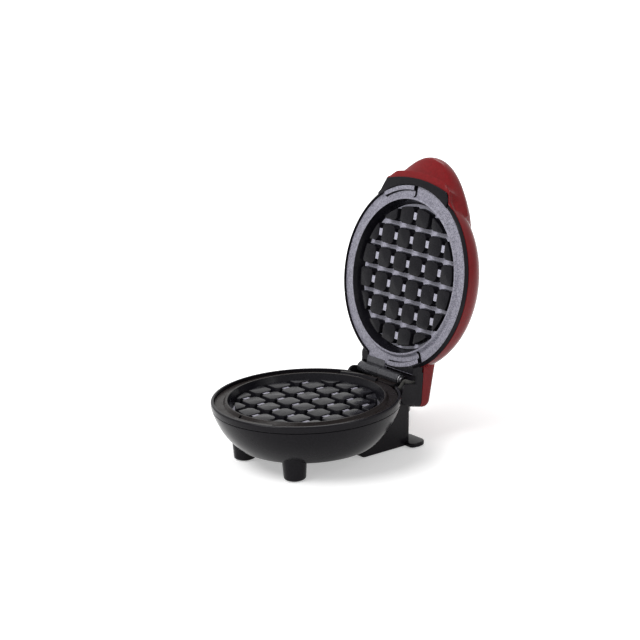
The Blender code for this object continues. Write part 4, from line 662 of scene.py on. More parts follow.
def extruded(outline, axis, start, end, edge=0):
    """An outline drawn out along an axis, its two rims rounded by edge."""
    order = {"X": (2, 0, 1), "Y": (0, 2, 1), "Z": (0, 1, 2)}[axis]
    bm = bmesh.new()
    loops = []
    for level in (start, end):
        loops.append([bm.verts.new([(a, b, level)[k] for k in order]) for a, b in outline])
    rims = []
    for i in range(len(outline)):
        j = (i + 1) % len(outline)
        bm.faces.new((loops[0][i], loops[0][j], loops[1][j], loops[1][i]))
    for loop in loops:
        face = bm.faces.new(loop)
        rims.extend(face.edges)
    bmesh.ops.recalc_face_normals(bm, faces=bm.faces)
    if edge:
        bmesh.ops.bevel(
            bm, geom=rims, offset=edge, segments=3, profile=0.5, affect="EDGES", clamp_overlap=False)
    return shape(bm)


def box(low, high, edge=0):
    low, high = Vector(low), Vector(high)
    bm = bmesh.new()
    bmesh.ops.create_cube(bm, size=1)
    bmesh.ops.scale(bm, vec=high - low, verts=bm.verts)
    bmesh.ops.translate(bm, vec=(low + high) / 2, verts=bm.verts)
    if edge:
        bmesh.ops.bevel(bm, geom=bm.edges[:], offset=edge, segments=3, profile=0.5, affect="EDGES")
    return shape(bm)


def bar(radius, start, end, end_radius=None, steps=SMALL_STEPS, edge=0):
    """A round bar or cone from start to end, its two rims rounded by edge."""
    start, end = Vector(start), Vector(end)
    length = (end - start).length
    far = radius if end_radius is None else end_radius
    obj = turned(rounded([(0, 0), (radius, 0, edge), (far, length, edge), (0, length)], False), steps)
    turn = (end - start).to_track_quat("Z", "Y").to_matrix().to_4x4()
    obj.data.transform(Matrix.Translation(start) @ turn)
    return obj


def loft(rings):
    bm = bmesh.new()
    loops = [[bm.verts.new(point) for point in ring] for ring in rings]
    for near, far in zip(loops, loops[1:]):
        for i in range(len(near)):
            j = (i + 1) % len(near)
            bm.faces.new((near[i], near[j], far[j], far[i]))
    bm.faces.new(loops[0])
    bm.faces.new(loops[-1])
    return shape(bm)


def shaped(obj, *steps):
    """Joins ("UNION") or cuts ("DIFFERENCE") with each tool in turn, and removes the tools."""
    for operation, tool in steps:
        modifier = obj.modifiers.new(operation, "BOOLEAN")
        modifier.operation = operation
        modifier.object = tool
    graph = bpy.context.evaluated_depsgraph_get()
    mesh = bpy.data.meshes.new_from_object(obj.evaluated_get(graph))
    obj.modifiers.clear()
    obj.data = mesh
    for _, tool in steps:
        bpy.data.objects.remove(tool)
    return obj


def join(*tools):
    return [("UNION", tool) for tool in tools]


def cut(*tools):
    return [("DIFFERENCE", tool) for tool in tools]


def arc(centre, radius, start, end, steps=8):
    points = []
    for i in range(steps + 1):
        angle = math.radians(start + (end - start) * i / steps)
        points.append((centre[0] + radius * math.cos(angle), centre[1] + radius * math.sin(angle)))
    return points


def smooth_points(route, spacing):
    """Evenly spaced points on a Catmull-Rom curve through a route's points."""
    knots = [Vector(point) for point in route]
    knots = [2 * knots[0] - knots[1], *knots, 2 * knots[-1] - knots[-2]]
    fine = []
    for a, b, c, d in zip(knots, knots[1:], knots[2:], knots[3:]):
        for step in range(20):
            t = step / 20
            fine.append(
                0.5 * (2 * b + (c - a) * t + (2 * a - 5 * b + 4 * c - d) * t**2)
                + 0.5 * (3 * b - a - 3 * c + d) * t**3
            )
    fine.append(knots[-2])
    lengths = [0]
    for near, far in zip(fine, fine[1:]):
        lengths.append(lengths[-1] + (far - near).length)
    count = max(1, round(lengths[-1] / spacing))
    points = []
    i = 0
    for step in range(count + 1):
        along = lengths[-1] * step / count
        while i < len(fine) - 2 and lengths[i + 1] < along:
            i += 1
        share = (along - lengths[i]) / (lengths[i + 1] - lengths[i])
        points.append(fine[i].lerp(fine[i + 1], min(1, share)))
    return points


def piece(obj, name, body, finish, nodes, matrix):
    """Names and places a finished shape, gives it its material and lets it stand for its nodes."""
    obj.name = obj.data.name = name
    obj.data.transform(matrix)
    obj.data.shade_smooth()
    obj.data.set_sharp_from_angle(angle=SHARP_ANGLE)
    for each in [finish] if isinstance(finish, str) else finish:
        obj.data.materials.append(MATERIALS[each])
    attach(obj, body)
    if nodes:
        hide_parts(*nodes)
    return obj


def tube(name, points, diameter, body, finish, nodes, matrix):
    curve = bpy.data.curves.new(name, "CURVE")
    curve.dimensions = "3D"
    curve.bevel_depth = diameter / 2
    curve.bevel_resolution = 6
    curve.use_fill_caps = True
    spline = curve.splines.new("POLY")
    spline.points.add(len(points) - 1)
    for point, where in zip(spline.points, points):
        point.co = (*(matrix @ Vector(where)), 1)
    spline.use_smooth = True
    obj = bpy.data.objects.new(name, curve)
    bpy.context.scene.collection.objects.link(obj)
    curve.materials.append(MATERIALS[finish])
    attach(obj, body)
    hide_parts(*nodes)
    return obj


# Waffle plates


def stud_outline(x, y, spread):
    """A stud's chamfered outline, kept inside the round field, as points round it."""
    wide, tall = ((side + spread) / 2 for side in STUD_TOP)
    keep = wide + tall - STUD_CHAMFER
    inside = Vector((x, y))
    if inside.length + wide > STUD_FIELD_RADIUS:
        inside -= inside.normalized() * (inside.length + wide - STUD_FIELD_RADIUS) * 0.55
    angles = [2 * math.pi * (ray + 0.5) / STUD_RAYS for ray in range(STUD_RAYS)]
    for a, b in ((wide, tall - STUD_CHAMFER), (wide - STUD_CHAMFER, tall)):
        for across, along in ((a, b), (-a, b), (a, -b), (-a, -b)):
            corner = Vector((x + across, y + along)) - inside
            angles.append(math.atan2(corner.y, corner.x) % (2 * math.pi))
    points = []
    for angle in sorted(angles):
        way = Vector((math.cos(angle), math.sin(angle)))
        low, high = 0, 4 * wide
        for _ in range(28):
            middle = (low + high) / 2
            point = inside + way * middle
            across, along = abs(point.x - x), abs(point.y - y)
            kept = across < wide and along < tall and across + along < keep
            if kept and point.length < STUD_FIELD_RADIUS:
                low = middle
            else:
                high = middle
        points.append((inside + way * low, inside))
    return points


def studs():
    """All the studs as one tool."""
    top = CAVITY_DEPTH - STUD_HEIGHT
    bm = bmesh.new()
    for column in range(CELLS_ACROSS):
        for row in range(CELLS_ACROSS):
            x = (column - (CELLS_ACROSS - 1) / 2) * STUD_PITCH
            y = (row - (CELLS_ACROSS - 1) / 2) * STUD_PITCH
            near_corner = Vector((abs(x), abs(y))) - Vector(STUD_TOP) / 2
            if near_corner.length > STUD_FIELD_RADIUS - STUD_LEAST_REMAINS:
                continue
            loops = []
            for share in (0, 0.3, 1):
                angle = share * math.pi / 2
                inset = STUD_ROUND * (1 - math.sin(angle))
                height = top + STUD_ROUND * (1 - math.cos(angle))
                ring = []
                for point, inside in stud_outline(x, y, 0):
                    point = point - (point - inside).normalized() * inset
                    ring.append(bm.verts.new((*point, height)))
                loops.append(ring)
            foot = [point for point, _ in stud_outline(x, y, STUD_SPREAD)]
            loops.append([bm.verts.new((*point, CAVITY_DEPTH + GAP)) for point in foot])
            for near, far in zip(loops, loops[1:]):
                for i in range(len(near)):
                    j = (i + 1) % len(near)
                    bm.faces.new((near[i], near[j], far[j], far[i]))
            bm.faces.new(loops[0])
            bm.faces.new(loops[-1])
    return shape(bm)


def bridges():
    """The low ribs between studs that lie side by side across the plate, as one tool."""
    low = CAVITY_DEPTH - STUD_HEIGHT + BRIDGE_DROP
    reach = (STUD_PITCH - STUD_TOP[0]) / 2 + STUD_ROUND + GAP
    bm = bmesh.new()
    for column in range(1 - CELLS_ACROSS // 2, CELLS_ACROSS // 2):
        for row in range(CELLS_ACROSS):
            x = column * STUD_PITCH
            y = (row - (CELLS_ACROSS - 1) / 2) * STUD_PITCH
            if math.hypot(abs(x) + reach, abs(y) + BRIDGE_LENGTH / 2) > STUD_FIELD_RADIUS:
                continue
            size = (2 * reach, BRIDGE_LENGTH, CAVITY_DEPTH + GAP - low)
            matrix = Matrix.Translation((x, y, low + size[2] / 2)) @ Matrix.Diagonal((*size, 1))
            bmesh.ops.create_cube(bm, size=1, matrix=matrix)
    return shape(bm)


def rib(radius, span):
    """A raised arc along a plate's rim."""
    rings = []
    for inner, height in ((RIB_RADIUS, RIB_TOP), (RIB_RADIUS - RIB_SLOPE, FLANGE_STEP + GAP)):
        outline = arc((0, 0), radius - GAP, *span, 24) + arc((0, 0), inner, span[1], span[0], 24)
        rings.append([(x, y, height) for x, y in outline])
    return loft(rings)


def notch(angle):
    low = (LIP_OUTER_RADIUS + GAP, -NOTCH_WIDTH / 2, -OVER)
    obj = box(low, (LID_RADIUS, NOTCH_WIDTH / 2, NOTCH_DEPTH))
    obj.data.transform(Matrix.Rotation(math.radians(angle), 4, "Z"))
    return obj


def waffle_plate(name, node, body, matrix, radius, knuckle, tongue, flange, floor):
    """A cast plate. In its frame the cavity opens to -Z and the hinge is at +Y."""
    profile = rounded(
        [
            (0, PLATE_BACK),
            (LIP_RADIUS, PLATE_BACK, 0.002),
            (FLANGE_ROOT_RADIUS, FLANGE_THICKNESS, 0.001),
            (radius, FLANGE_THICKNESS, 0.0002),
            (radius, FLANGE_STEP, 0.0004),
            (FLANGE_STEP_RADIUS, FLANGE_STEP, 0.0004),
            (LIP_OUTER_RADIUS, 0, 0.0003),
            (LIP_RADIUS, 0, 0.0003),
            (CAVITY_FLOOR_RADIUS + GAP, CAVITY_DEPTH, 0.0008),
            (0, CAVITY_DEPTH),
        ],
        False,
    )
    plate = turned(profile)
    strap_top = HINGE_BEHIND_LIP + BARREL_RADIUS
    strap_low = (max(knuckle[0], -TONGUE_HALF_WIDTH), HINGE_REACH - STRAP_LENGTH, strap_top - STRAP_THICKNESS)
    post_foot = (0, 0, PLATE_BACK - GAP)
    post_end = (0, 0, PLATE_BACK + POST_HEIGHT)
    ends = [Vector((x, HINGE_REACH, HINGE_BEHIND_LIP)) for x in knuckle]
    over = Vector((OVER, 0, 0))
    tongue_low = (tongue[0], TONGUE_ROOT_REACH, TONGUE_RECESS)
    tongue_high = (tongue[1], TONGUE_END, TONGUE_RECESS + TONGUE_THICKNESS)
    shaped(
        plate,
        *join(
            studs(),
            bridges(),
            *(rib(radius, span) for span in RIB_ARCS),
            bar(POST_RADIUS, post_foot, post_end),
            box(tongue_low, tongue_high, 0.0004),
            box(strap_low, (knuckle[1], HINGE_REACH, strap_top)),
            bar(BARREL_RADIUS, *ends, edge=0.0003),
        ),
        *cut(bar(PIN_RADIUS + GAP * 0.6, ends[0] - over, ends[1] + over)),
        *cut(*(notch(angle) for angle in NOTCH_ANGLES)),
    )
    # One non-stick coat, split by depth and facing: the cavity floor and bridge tops, and on the upper plate the
    # lip and flange too, get pale copies as painted light, while stud tops, walls and the deeper notch faces keep
    # the dark coat, so the recesses read as painted shade.
    finishes = ["coat_dark", floor, flange, "barrel"]
    bridge_top = CAVITY_DEPTH - STUD_HEIGHT + BRIDGE_DROP
    for face in plate.data.polygons:
        x, y, z = face.center
        reach = math.hypot(x, y)
        facing = face.normal.z < -0.6
        on_floor = facing and z > CAVITY_DEPTH - 0.0008
        on_bridge = facing and abs(z - bridge_top) < GAP / 3
        if reach < CAVITY_FLOOR_RADIUS and (on_floor or on_bridge):
            face.material_index = 1
        elif y > HINGE_REACH - BARREL_RADIUS - GAP:
            face.material_index = 3
        elif reach > radius - GAP / 3 and y > TONGUE_ROOT_REACH:
            face.material_index = 2
        elif reach > LIP_RADIUS - GAP and facing and z < FLANGE_STEP + GAP:
            face.material_index = 2
    return piece(plate, name, body, finishes, [node], matrix)


# Screws


def screw_shape(length):
    profile = rounded(
        [
            (0, SCREW_HEAD_HEIGHT),
            (SCREW_HEAD_RADIUS * 0.75, SCREW_HEAD_HEIGHT, 0.0003),
            (SCREW_HEAD_RADIUS, SCREW_HEAD_HEIGHT * 0.55, 0.0003),
            (SCREW_HEAD_RADIUS, 0, 0.0001),
            (SCREW_SHANK_RADIUS, 0),
            (SCREW_SHANK_RADIUS, -length + SCREW_SHANK_RADIUS / 2),
            (0, -length),
        ],
        False,
        3,
    )
    slots = []
    for width, reach in ((RECESS_HALF_WIDTH, 1), (1, RECESS_HALF_WIDTH)):
        half = (
            width if width < 1 else SCREW_HEAD_RADIUS * 0.6,
            reach if reach < 1 else SCREW_HEAD_RADIUS * 0.6,
        )
        low = (-half[0], -half[1], SCREW_HEAD_HEIGHT - RECESS_DEPTH)
        slots.append(box(low, (half[0], half[1], SCREW_HEAD_HEIGHT + OVER)))
    return shaped(turned(profile, 24), *cut(*slots))


def screw(node, body, matrix, seat, direction, length):
    direction = Vector(direction).normalized()
    turn = (-direction).to_track_quat("Z", "Y").to_matrix().to_4x4()
    where = Matrix.Translation(Vector(seat) - direction * GAP) @ turn
    piece(screw_shape(length), f"{node}_crosshead", body, "steel", [node], matrix @ where)


def screws():
    cover_bottom = -BOWL_DEPTH - GAP - COVER_THICKNESS
    for number, angle in enumerate(PLATE_SCREW_ANGLES, 1):
        x, y = math.cos(math.radians(angle)), math.sin(math.radians(angle))
        seat = (PLATE_SCREW_RADIUS * x, PLATE_SCREW_RADIUS * y, SHELF_BACK)
        screw(f"lower_plate_screw_{number}", "base", LOWER, seat, (0, 0, -1), PLATE_SCREW_LENGTH)
        screw(f"upper_plate_screw_{number}", "lid", LID, seat, (0, 0, -1), PLATE_SCREW_LENGTH)
        seat = (COVER_SCREW_RADIUS * x, COVER_SCREW_RADIUS * y, cover_bottom)
        screw(f"bottom_cover_screw_{number}", "base", BASE, seat, (0, 0, 1), COVER_SCREW_LENGTH)
    for side, sign in (("left", -1), ("right", 1)):
        x = sign * PEDESTAL_SCREW_X
        seat = (x, PEDESTAL_SCREW_Y, -BOWL_DEPTH + WALL)
        screw(f"pedestal_screw_{side}", "base", BASE, seat, (0, 0, -1), TALL_SCREW_LENGTH)
        seat = (x, FOOT_SCREW_Y, FLOOR_Z + FOOT_LIFT + SCREW_HEAD_HEIGHT + GAP)
        screw(f"foot_plate_screw_{side}", "base", BASE, seat, (0, 0, 1), TALL_SCREW_LENGTH)
        seat = (sign * TAIL_SCREW_X, TAIL_SCREW_Y, TRAY_BOTTOM + SCREW_HEAD_HEIGHT + GAP)
        screw(f"lid_screw_{side}", "lid", LID, seat, (0, 0, 1), TALL_SCREW_LENGTH)


# Base


def bowl_point(share, inset=0):
    top = Vector((BOWL_TOP_RADIUS, -RIM_DEPTH - SEAM))
    bottom = Vector((BOWL_BOTTOM_RADIUS, -BOWL_DEPTH))
    along = (bottom - top).normalized()
    outward = Vector((-along.y, along.x))
    return top.lerp(bottom, share) + outward * (4 * BOWL_BULGE * share * (1 - share) - inset)


def bowl_side(inset=0):
    return [tuple(bowl_point(step / BOWL_STEPS, inset)) for step in range(BOWL_STEPS + 1)]


def base_bowl():
    side = bowl_side()
    corner = (*side[-1], BOWL_EDGE_ROUND)
    bowl = turned(rounded([(0, side[0][1]), (*side[0], 0.0003), *side[1:-3], corner, (0, -BOWL_DEPTH)], False))
    feet = []
    for x in (-FOOT_X, FOOT_X):
        low = FLOOR_Z + FOOT_LIFT
        profile = [(0, low), (FOOT_RADIUS, low, FOOT_ROUND), (FOOT_TOP_RADIUS, FOOT_TOP_Z, 0.001), (0, FOOT_TOP_Z)]
        foot = turned(rounded(profile, False, 6), SMALL_STEPS)
        foot.data.transform(Matrix.Translation((x, FOOT_Y, 0)))
        feet.append(foot)
    inner = bowl_side(WALL)
    top = side[0][1] + OVER
    floor = -BOWL_DEPTH + WALL
    hollow = turned([(0, top), (inner[0][0], top), *inner[:-1], (inner[-1][0], floor), (0, floor)])
    hollow.data.transform(Matrix.Rotation(math.pi / TURN_STEPS, 4, "Z"))
    tongue_depth = LOWER_LIP_DEPTH + TONGUE_RECESS + TONGUE_THICKNESS + GAP
    low = (-OPENING_HALF_WIDTH, OPENING_START, -tongue_depth)
    half, front, bottom, above = WIRE_OPENING
    pockets = []
    for x in (-FOOT_X, FOOT_X):
        ends = ((x, FOOT_Y, FLOOR_Z), (x, FOOT_Y, FLOOR_Z + PAD_THICKNESS + GAP))
        pockets.append(bar(PAD_RADIUS + GAP, *ends))
    shaped(
        bowl,
        *join(*feet),
        *cut(
            hollow,
            bar(BOTTOM_OPENING_RADIUS, (0, 0, -BOWL_DEPTH - OVER), (0, 0, floor + OVER)),
            box(low, (OPENING_HALF_WIDTH, LID_RADIUS, top)),
            box((-half, front, bottom), (half, LID_RADIUS, above)),
            *pockets,
        ),
    )
    piece(bowl, "bowl_moulding", "base", "black_plastic", ["base_bowl"], BASE)


def bezel_ring():
    inner = LOWER_PLATE_RADIUS + GAP
    face = -LOWER_LIP_DEPTH - SHELF_FACE
    back = -LOWER_LIP_DEPTH - SHELF_BACK
    skirt_end = -RIM_DEPTH - SKIRT_DEPTH
    top_z = -RIM_DEPTH - SEAM
    share = (skirt_end - top_z) / (-BOWL_DEPTH - top_z)
    outer = BOWL_TOP_RADIUS - WALL - 2 * GAP
    outer_end = bowl_point(share).x - WALL - 2 * GAP
    profile = [
        (inner, -0.00075, 0.0002),
        (0.0609, -0.00075, 0.0003),
        (0.0613, -0.00105, 0.0003),
        (BASE_RADIUS, -0.0016, 0.0004),
        (BASE_RADIUS, -0.0025, 0.0004),
        (0.0614, -RIM_DEPTH, 0.0004),
        (outer, -RIM_DEPTH),
        (outer_end, skirt_end),
        (outer_end - SKIRT_THICKNESS, skirt_end),
        (outer_end - SKIRT_THICKNESS, back),
        (FLANGE_ROOT_RADIUS + GAP, back),
        (FLANGE_ROOT_RADIUS + GAP, face),
        (inner, face),
    ]
    ring = turned(rounded(profile), closed=True)
    low = (-OPENING_HALF_WIDTH, OPENING_START, skirt_end - OVER)
    shaped(ring, *cut(box(low, (OPENING_HALF_WIDTH, LID_RADIUS, OVER))))
    piece(ring, "rim_ring", "base", "black_plastic", ["lower_bezel_ring"], BASE)


def bottom_cover():
    top = -BOWL_DEPTH - GAP
    bottom = top - COVER_THICKNESS
    profile = [(0, top), (COVER_RADIUS, top, 0.0002), (COVER_RADIUS, bottom, 0.0006), (0, bottom)]
    cover = turned(rounded(profile, False), 96)
    holes = []
    for angle in PLATE_SCREW_ANGLES:
        x = COVER_SCREW_RADIUS * math.cos(math.radians(angle))
        y = COVER_SCREW_RADIUS * math.sin(math.radians(angle))
        holes.append(bar(SCREW_SHANK_RADIUS + GAP, (x, y, bottom - OVER), (x, y, top + OVER), steps=24))
    shaped(cover, *cut(*holes))
    piece(cover, "underside_cover", "base", "black_plastic", ["bottom_cover"], BASE)


def pedestal():
    low_z = FLOOR_Z + FOOT_LIFT
    corner = (PEDESTAL_FRONT + PEDESTAL_CORNER, low_z + PEDESTAL_CORNER)
    rear = [(PEDESTAL_FOOT_REACH, low_z), *arc((PEDESTAL_TOP_REACH - 0.0015, PEDESTAL_TOP_Z - 0.0015), 0.0015, 0, 90, 4)]
    outline = [(PEDESTAL_FRONT, PEDESTAL_TOP_Z), *arc(corner, PEDESTAL_CORNER, 180, 270), *rear]
    half = PEDESTAL_HALF_WIDTH
    body = extruded(outline, "X", -half, half, PEDESTAL_EDGE)
    front, top = PEDESTAL_FRONT + WALL, PEDESTAL_TOP_Z - WALL
    rear = [(PEDESTAL_FOOT_REACH - WALL, low_z - OVER), (PEDESTAL_TOP_REACH - WALL, top)]
    inner = half - WALL
    side = bowl_side(-GAP)
    envelope = [(0, OVER), (BASE_RADIUS + GAP, OVER), (BASE_RADIUS + GAP, side[0][1]), *side]
    envelope += [(side[-1][0], -BOWL_DEPTH - GAP), (0, -BOWL_DEPTH - GAP)]
    deck = low_z + FOOT_PLATE_THICKNESS + GAP
    shaped(
        body,
        *cut(extruded([(front, top), (front, low_z - OVER), *rear], "X", -inner, inner)),
    )
    bosses = []
    for y, boss_top in ((PEDESTAL_SCREW_Y, -BOWL_DEPTH + OVER), (FOOT_SCREW_Y, deck + 0.012)):
        for sign in (-1, 1):
            x = sign * PEDESTAL_SCREW_X
            bosses.append(bar(BOSS_RADIUS, (x, y, deck), (x, y, boss_top), steps=24))
            near, far = sorted((x, sign * (inner + WALL / 2)))
            bosses.append(box((near, y - OVER, deck + GAP), (far, y + OVER, boss_top - GAP)))
    low = (-half - OVER, FOOT_PLATE_FRONT - GAP, FLOOR_Z - OVER)
    sleeve = [(BASE_SLEEVE_X, BASE_SLEEVE_Y, z) for z in (top - OVER, PEDESTAL_TOP_Z + OVER)]
    relief = [(RELIEF_X, y, RELIEF_Z) for y in (PEDESTAL_FOOT_REACH - 2 * WALL, PEDESTAL_TOP_REACH + OVER)]
    shaped(
        body,
        *join(*bosses),
        *cut(
            turned(envelope),
            box(low, (half + OVER, FOOT_PLATE_BACK, deck)),
            bar(SLEEVE_HOLE_RADIUS, *sleeve),
            bar(RELIEF_NECK_RADIUS + GAP, *relief),
        ),
    )
    piece(body, "pedestal_moulding", "base", "black_plastic", ["hinge_pedestal"], BASE)


def foot_plate():
    low_z = FLOOR_Z + FOOT_LIFT
    half, corner = FOOT_PLATE_HALF_WIDTH, FOOT_PLATE_CORNER
    front, back = FOOT_PLATE_FRONT, FOOT_PLATE_BACK
    panel_half = PEDESTAL_HALF_WIDTH - WALL - GAP
    small = corner / 2
    outline = [
        *arc((-panel_half + 0.001, PEDESTAL_FRONT + WALL + GAP + 0.001), 0.001, 180, 270, 4),
        *arc((panel_half - 0.001, PEDESTAL_FRONT + WALL + GAP + 0.001), 0.001, 270, 360, 4),
        (panel_half, front),
        *arc((half - small, front + small), small, -90, 0),
        *arc((half - corner, back - corner), corner, 0, 90),
        *arc((-half + corner, back - corner), corner, 90, 180),
        *arc((-half + small, front + small), small, 180, 270),
        (-panel_half, front),
    ]
    plate = extruded(outline, "Z", low_z, low_z + FOOT_PLATE_THICKNESS, FOOT_PLATE_EDGE)
    holes = []
    for sign in (-1, 1):
        x, y = sign * PEDESTAL_SCREW_X, FOOT_SCREW_Y
        holes.append(bar(SCREW_HEAD_RADIUS + GAP, (x, y, FLOOR_Z), (x, y, low_z + SCREW_HEAD_HEIGHT + GAP)))
        holes.append(bar(SCREW_SHANK_RADIUS + GAP, (x, y, FLOOR_Z), (x, y, 0), steps=24))
        x, y = sign * REAR_PAD_X, REAR_PAD_Y
        holes.append(bar(PAD_RADIUS + GAP, (x, y, FLOOR_Z), (x, y, FLOOR_Z + PAD_THICKNESS + GAP)))
    shaped(plate, *cut(*holes))
    piece(plate, "flat_foot", "base", "black_plastic", ["foot_plate"], BASE)


def pads():
    places = {
        "front_foot_pad_left": (-FOOT_X, FOOT_Y),
        "front_foot_pad_right": (FOOT_X, FOOT_Y),
        "rear_foot_pad_left": (-REAR_PAD_X, REAR_PAD_Y),
        "rear_foot_pad_right": (REAR_PAD_X, REAR_PAD_Y),
    }
    for node, (x, y) in places.items():
        ends = ((x, y, FLOOR_Z), (x, y, FLOOR_Z + PAD_THICKNESS))
        pad = bar(PAD_RADIUS, *ends, edge=PAD_ROUND)
        piece(pad, f"{node}_disc", "base", "rubber", [node], BASE)


def hinge_pin():
    head = BARREL_LEFT_X - GAP
    end = BARREL_RIGHT_X + PIN_END_LENGTH
    groove = BARREL_RIGHT_X
    profile = [
        (0, end),
        (PIN_RADIUS, end, PIN_ROUND),
        (PIN_RADIUS, groove + CLIP_THICKNESS + 2 * GAP),
        (PIN_RADIUS - 0.0004, groove + CLIP_THICKNESS + 2 * GAP),
        (PIN_RADIUS - 0.0004, groove),
        (PIN_RADIUS, groove),
        (PIN_RADIUS, head),
        (PIN_HEAD_RADIUS, head, 0.0001),
        (PIN_HEAD_RADIUS, head - PIN_HEAD_LENGTH, PIN_ROUND),
        (0, head - PIN_HEAD_LENGTH),
    ]
    matrix = BASE @ Matrix.Translation((0, HINGE_REACH, HINGE_Z)) @ Matrix.Rotation(math.pi / 2, 4, "Y")
    pin = turned(rounded(profile, False), SMALL_STEPS)
    piece(pin, "turned_pin", "base", "steel", ["hinge_pin"], matrix)
    start = groove + GAP
    ring = [
        (CLIP_BORE, start + CLIP_THICKNESS, 0.0001),
        (CLIP_RADIUS, start + CLIP_THICKNESS, 0.0001),
        (CLIP_RADIUS, start, 0.0001),
        (CLIP_BORE, start, 0.0001),
    ]
    mouth = box((-CLIP_BORE * 0.64, 0, start - OVER), (CLIP_BORE * 0.64, CLIP_RADIUS * 2, start + 2 * OVER))
    clip = shaped(turned(rounded(ring), SMALL_STEPS, True), *cut(mouth))
    piece(clip, "spring_clip", "base", "steel", ["pin_clip"], matrix)


# Lid


def dome_profile(inset, edge):
    radius = LID_RADIUS - inset
    height = DOME_HEIGHT - inset
    points = []
    for step in range(DOME_STEPS):
        angle = math.pi / 2 * step / DOME_STEPS
        across = math.sin(angle) ** (2 / DOME_POWER)
        up = math.cos(angle) ** (2 / DOME_POWER)
        points.append((radius * across, DOME_BASE + height * up))
    return [*points, (radius, edge), (0, edge)]


def tail_seam(y):
    return TAIL_SEAM_HEIGHT + TAIL_SEAM_SLOPE * (y - TAIL_SEAM_REACH)


def tail_stations(inset=0, angles=(0, 15, 30, 45, 60, 75, 90)):
    corner = TAIL_CORNER - inset
    side = TAIL_SIDE_CORNER - inset
    half = TAIL_HALF_WIDTH - inset
    back = TAIL_REACH - TAIL_CORNER
    top = TAIL_TOP - TAIL_CORNER
    stations = []
    for angle in angles:
        across, up = math.sin(math.radians(angle)), math.cos(math.radians(angle))
        stations.append((back + corner * across, half - side * (1 - up), top + corner * up))
    return stations


def tail_solid(inset, drop):
    rings = []
    stations = tail_stations(inset)
    first = (TAIL_ROOT, *stations[0][1:])
    for y, half, top in (first, *stations):
        low = tail_seam(y) - drop
        corner = min(TAIL_EDGE_CORNER - inset, (top - tail_seam(y)) / 2)
        right = [(half, low), *arc((half - corner, top - corner), corner, 0, 90)]
        rings.append([(x, y, z) for x, z in [*right, *((-x, z) for x, z in reversed(right))]])
    return loft(rings)


def brim_reach(x):
    across = min(abs(x), BRIM_HALF_WIDTH)
    reach = BRIM_REACH - (BRIM_REACH - BRIM_END_REACH) * (across / BRIM_HALF_WIDTH) ** 2
    if abs(x) <= BRIM_HALF_WIDTH:
        return reach
    along = (abs(x) - BRIM_BACK_X) / (HOOD_HALF_WIDTH - BRIM_BACK_X)
    back = BRIM_BACK_REACH + (HOOD_SIDE_REACH - GAP - BRIM_BACK_REACH) * max(0, along)
    if abs(x) >= BRIM_BACK_X:
        return back
    share = (abs(x) - BRIM_HALF_WIDTH) / (BRIM_BACK_X - BRIM_HALF_WIDTH)
    return reach + (back - reach) * share


def hood_ring(x, inset, drop):
    share = x / HOOD_HALF_WIDTH
    nose = HOOD_REACH - (HOOD_REACH - HOOD_SIDE_REACH) * share**2 - inset
    brim = brim_reach(x) - BRIM_WALL * inset / WALL
    beyond = max(0, abs(x) - HOOD_HALF_WIDTH + HOOD_END_ROUND) / HOOD_END_ROUND
    fall = HOOD_END_ROUND * (1 - math.sqrt(max(0, 1 - min(1, beyond) ** 2)))
    top = HOOD_TOP - HOOD_SIDE_DROP * share**2 - inset - fall
    crest = math.sqrt(HOOD_CREST_RADIUS**2 - x**2) - inset
    if inset:
        under = [
            (HOOD_ROOT, -drop),
            (brim, -drop, BRIM_ROUND),
            (brim + HOLLOW_STEP[0], HOLLOW_STEP[1], BRIM_ROUND),
            (nose - HOLLOW_NOSE_INSET, HOOD_NOSE_LOW + inset / 2, NOSE_ROUND),
        ]
    else:
        fade = min(1, max(BRIM_LIP_LEAST, (BRIM_BACK_X - abs(x)) / BRIM_LIP_FADE))
        under = [
            (HOOD_ROOT, BRIM_FRONT),
            (brim, BRIM_FRONT, BRIM_ROUND),
            (brim + fade * BRIM_LIP[0], BRIM_LIP[1], BRIM_ROUND),
            (brim + fade * BRIM_GROOVE[0], BRIM_GROOVE[1], BRIM_ROUND),
            (nose, HOOD_NOSE_LOW, NOSE_ROUND),
        ]
    return rounded(
        [
            *under,
            (nose, HOOD_NOSE_HIGH + inset / -3, NOSE_ROUND),
            (nose - HOOD_TOP_SETBACK / 3, top - HOOD_TOP_SETBACK / 2, NOSE_ROUND),
            (nose - HOOD_TOP_SETBACK, top, NOSE_ROUND),
            (crest - 2 * GAP, HOOD_CREST - inset - fall, 0.0015),
            (HOOD_ROOT / 2, HOOD_CREST - inset - fall),
        ]
    )


def hood_solid(inset, drop, stations):
    half = HOOD_HALF_WIDTH - inset
    edges = [-half, -BRIM_BACK_X, -BRIM_HALF_WIDTH, BRIM_HALF_WIDTH, BRIM_BACK_X, half]
    xs = sorted({round(-half + 2 * half * step / stations, 6) for step in range(stations + 1)} | set(edges))
    return loft([[(x, -reach, height) for reach, height in hood_ring(x, inset, drop)] for x in xs])


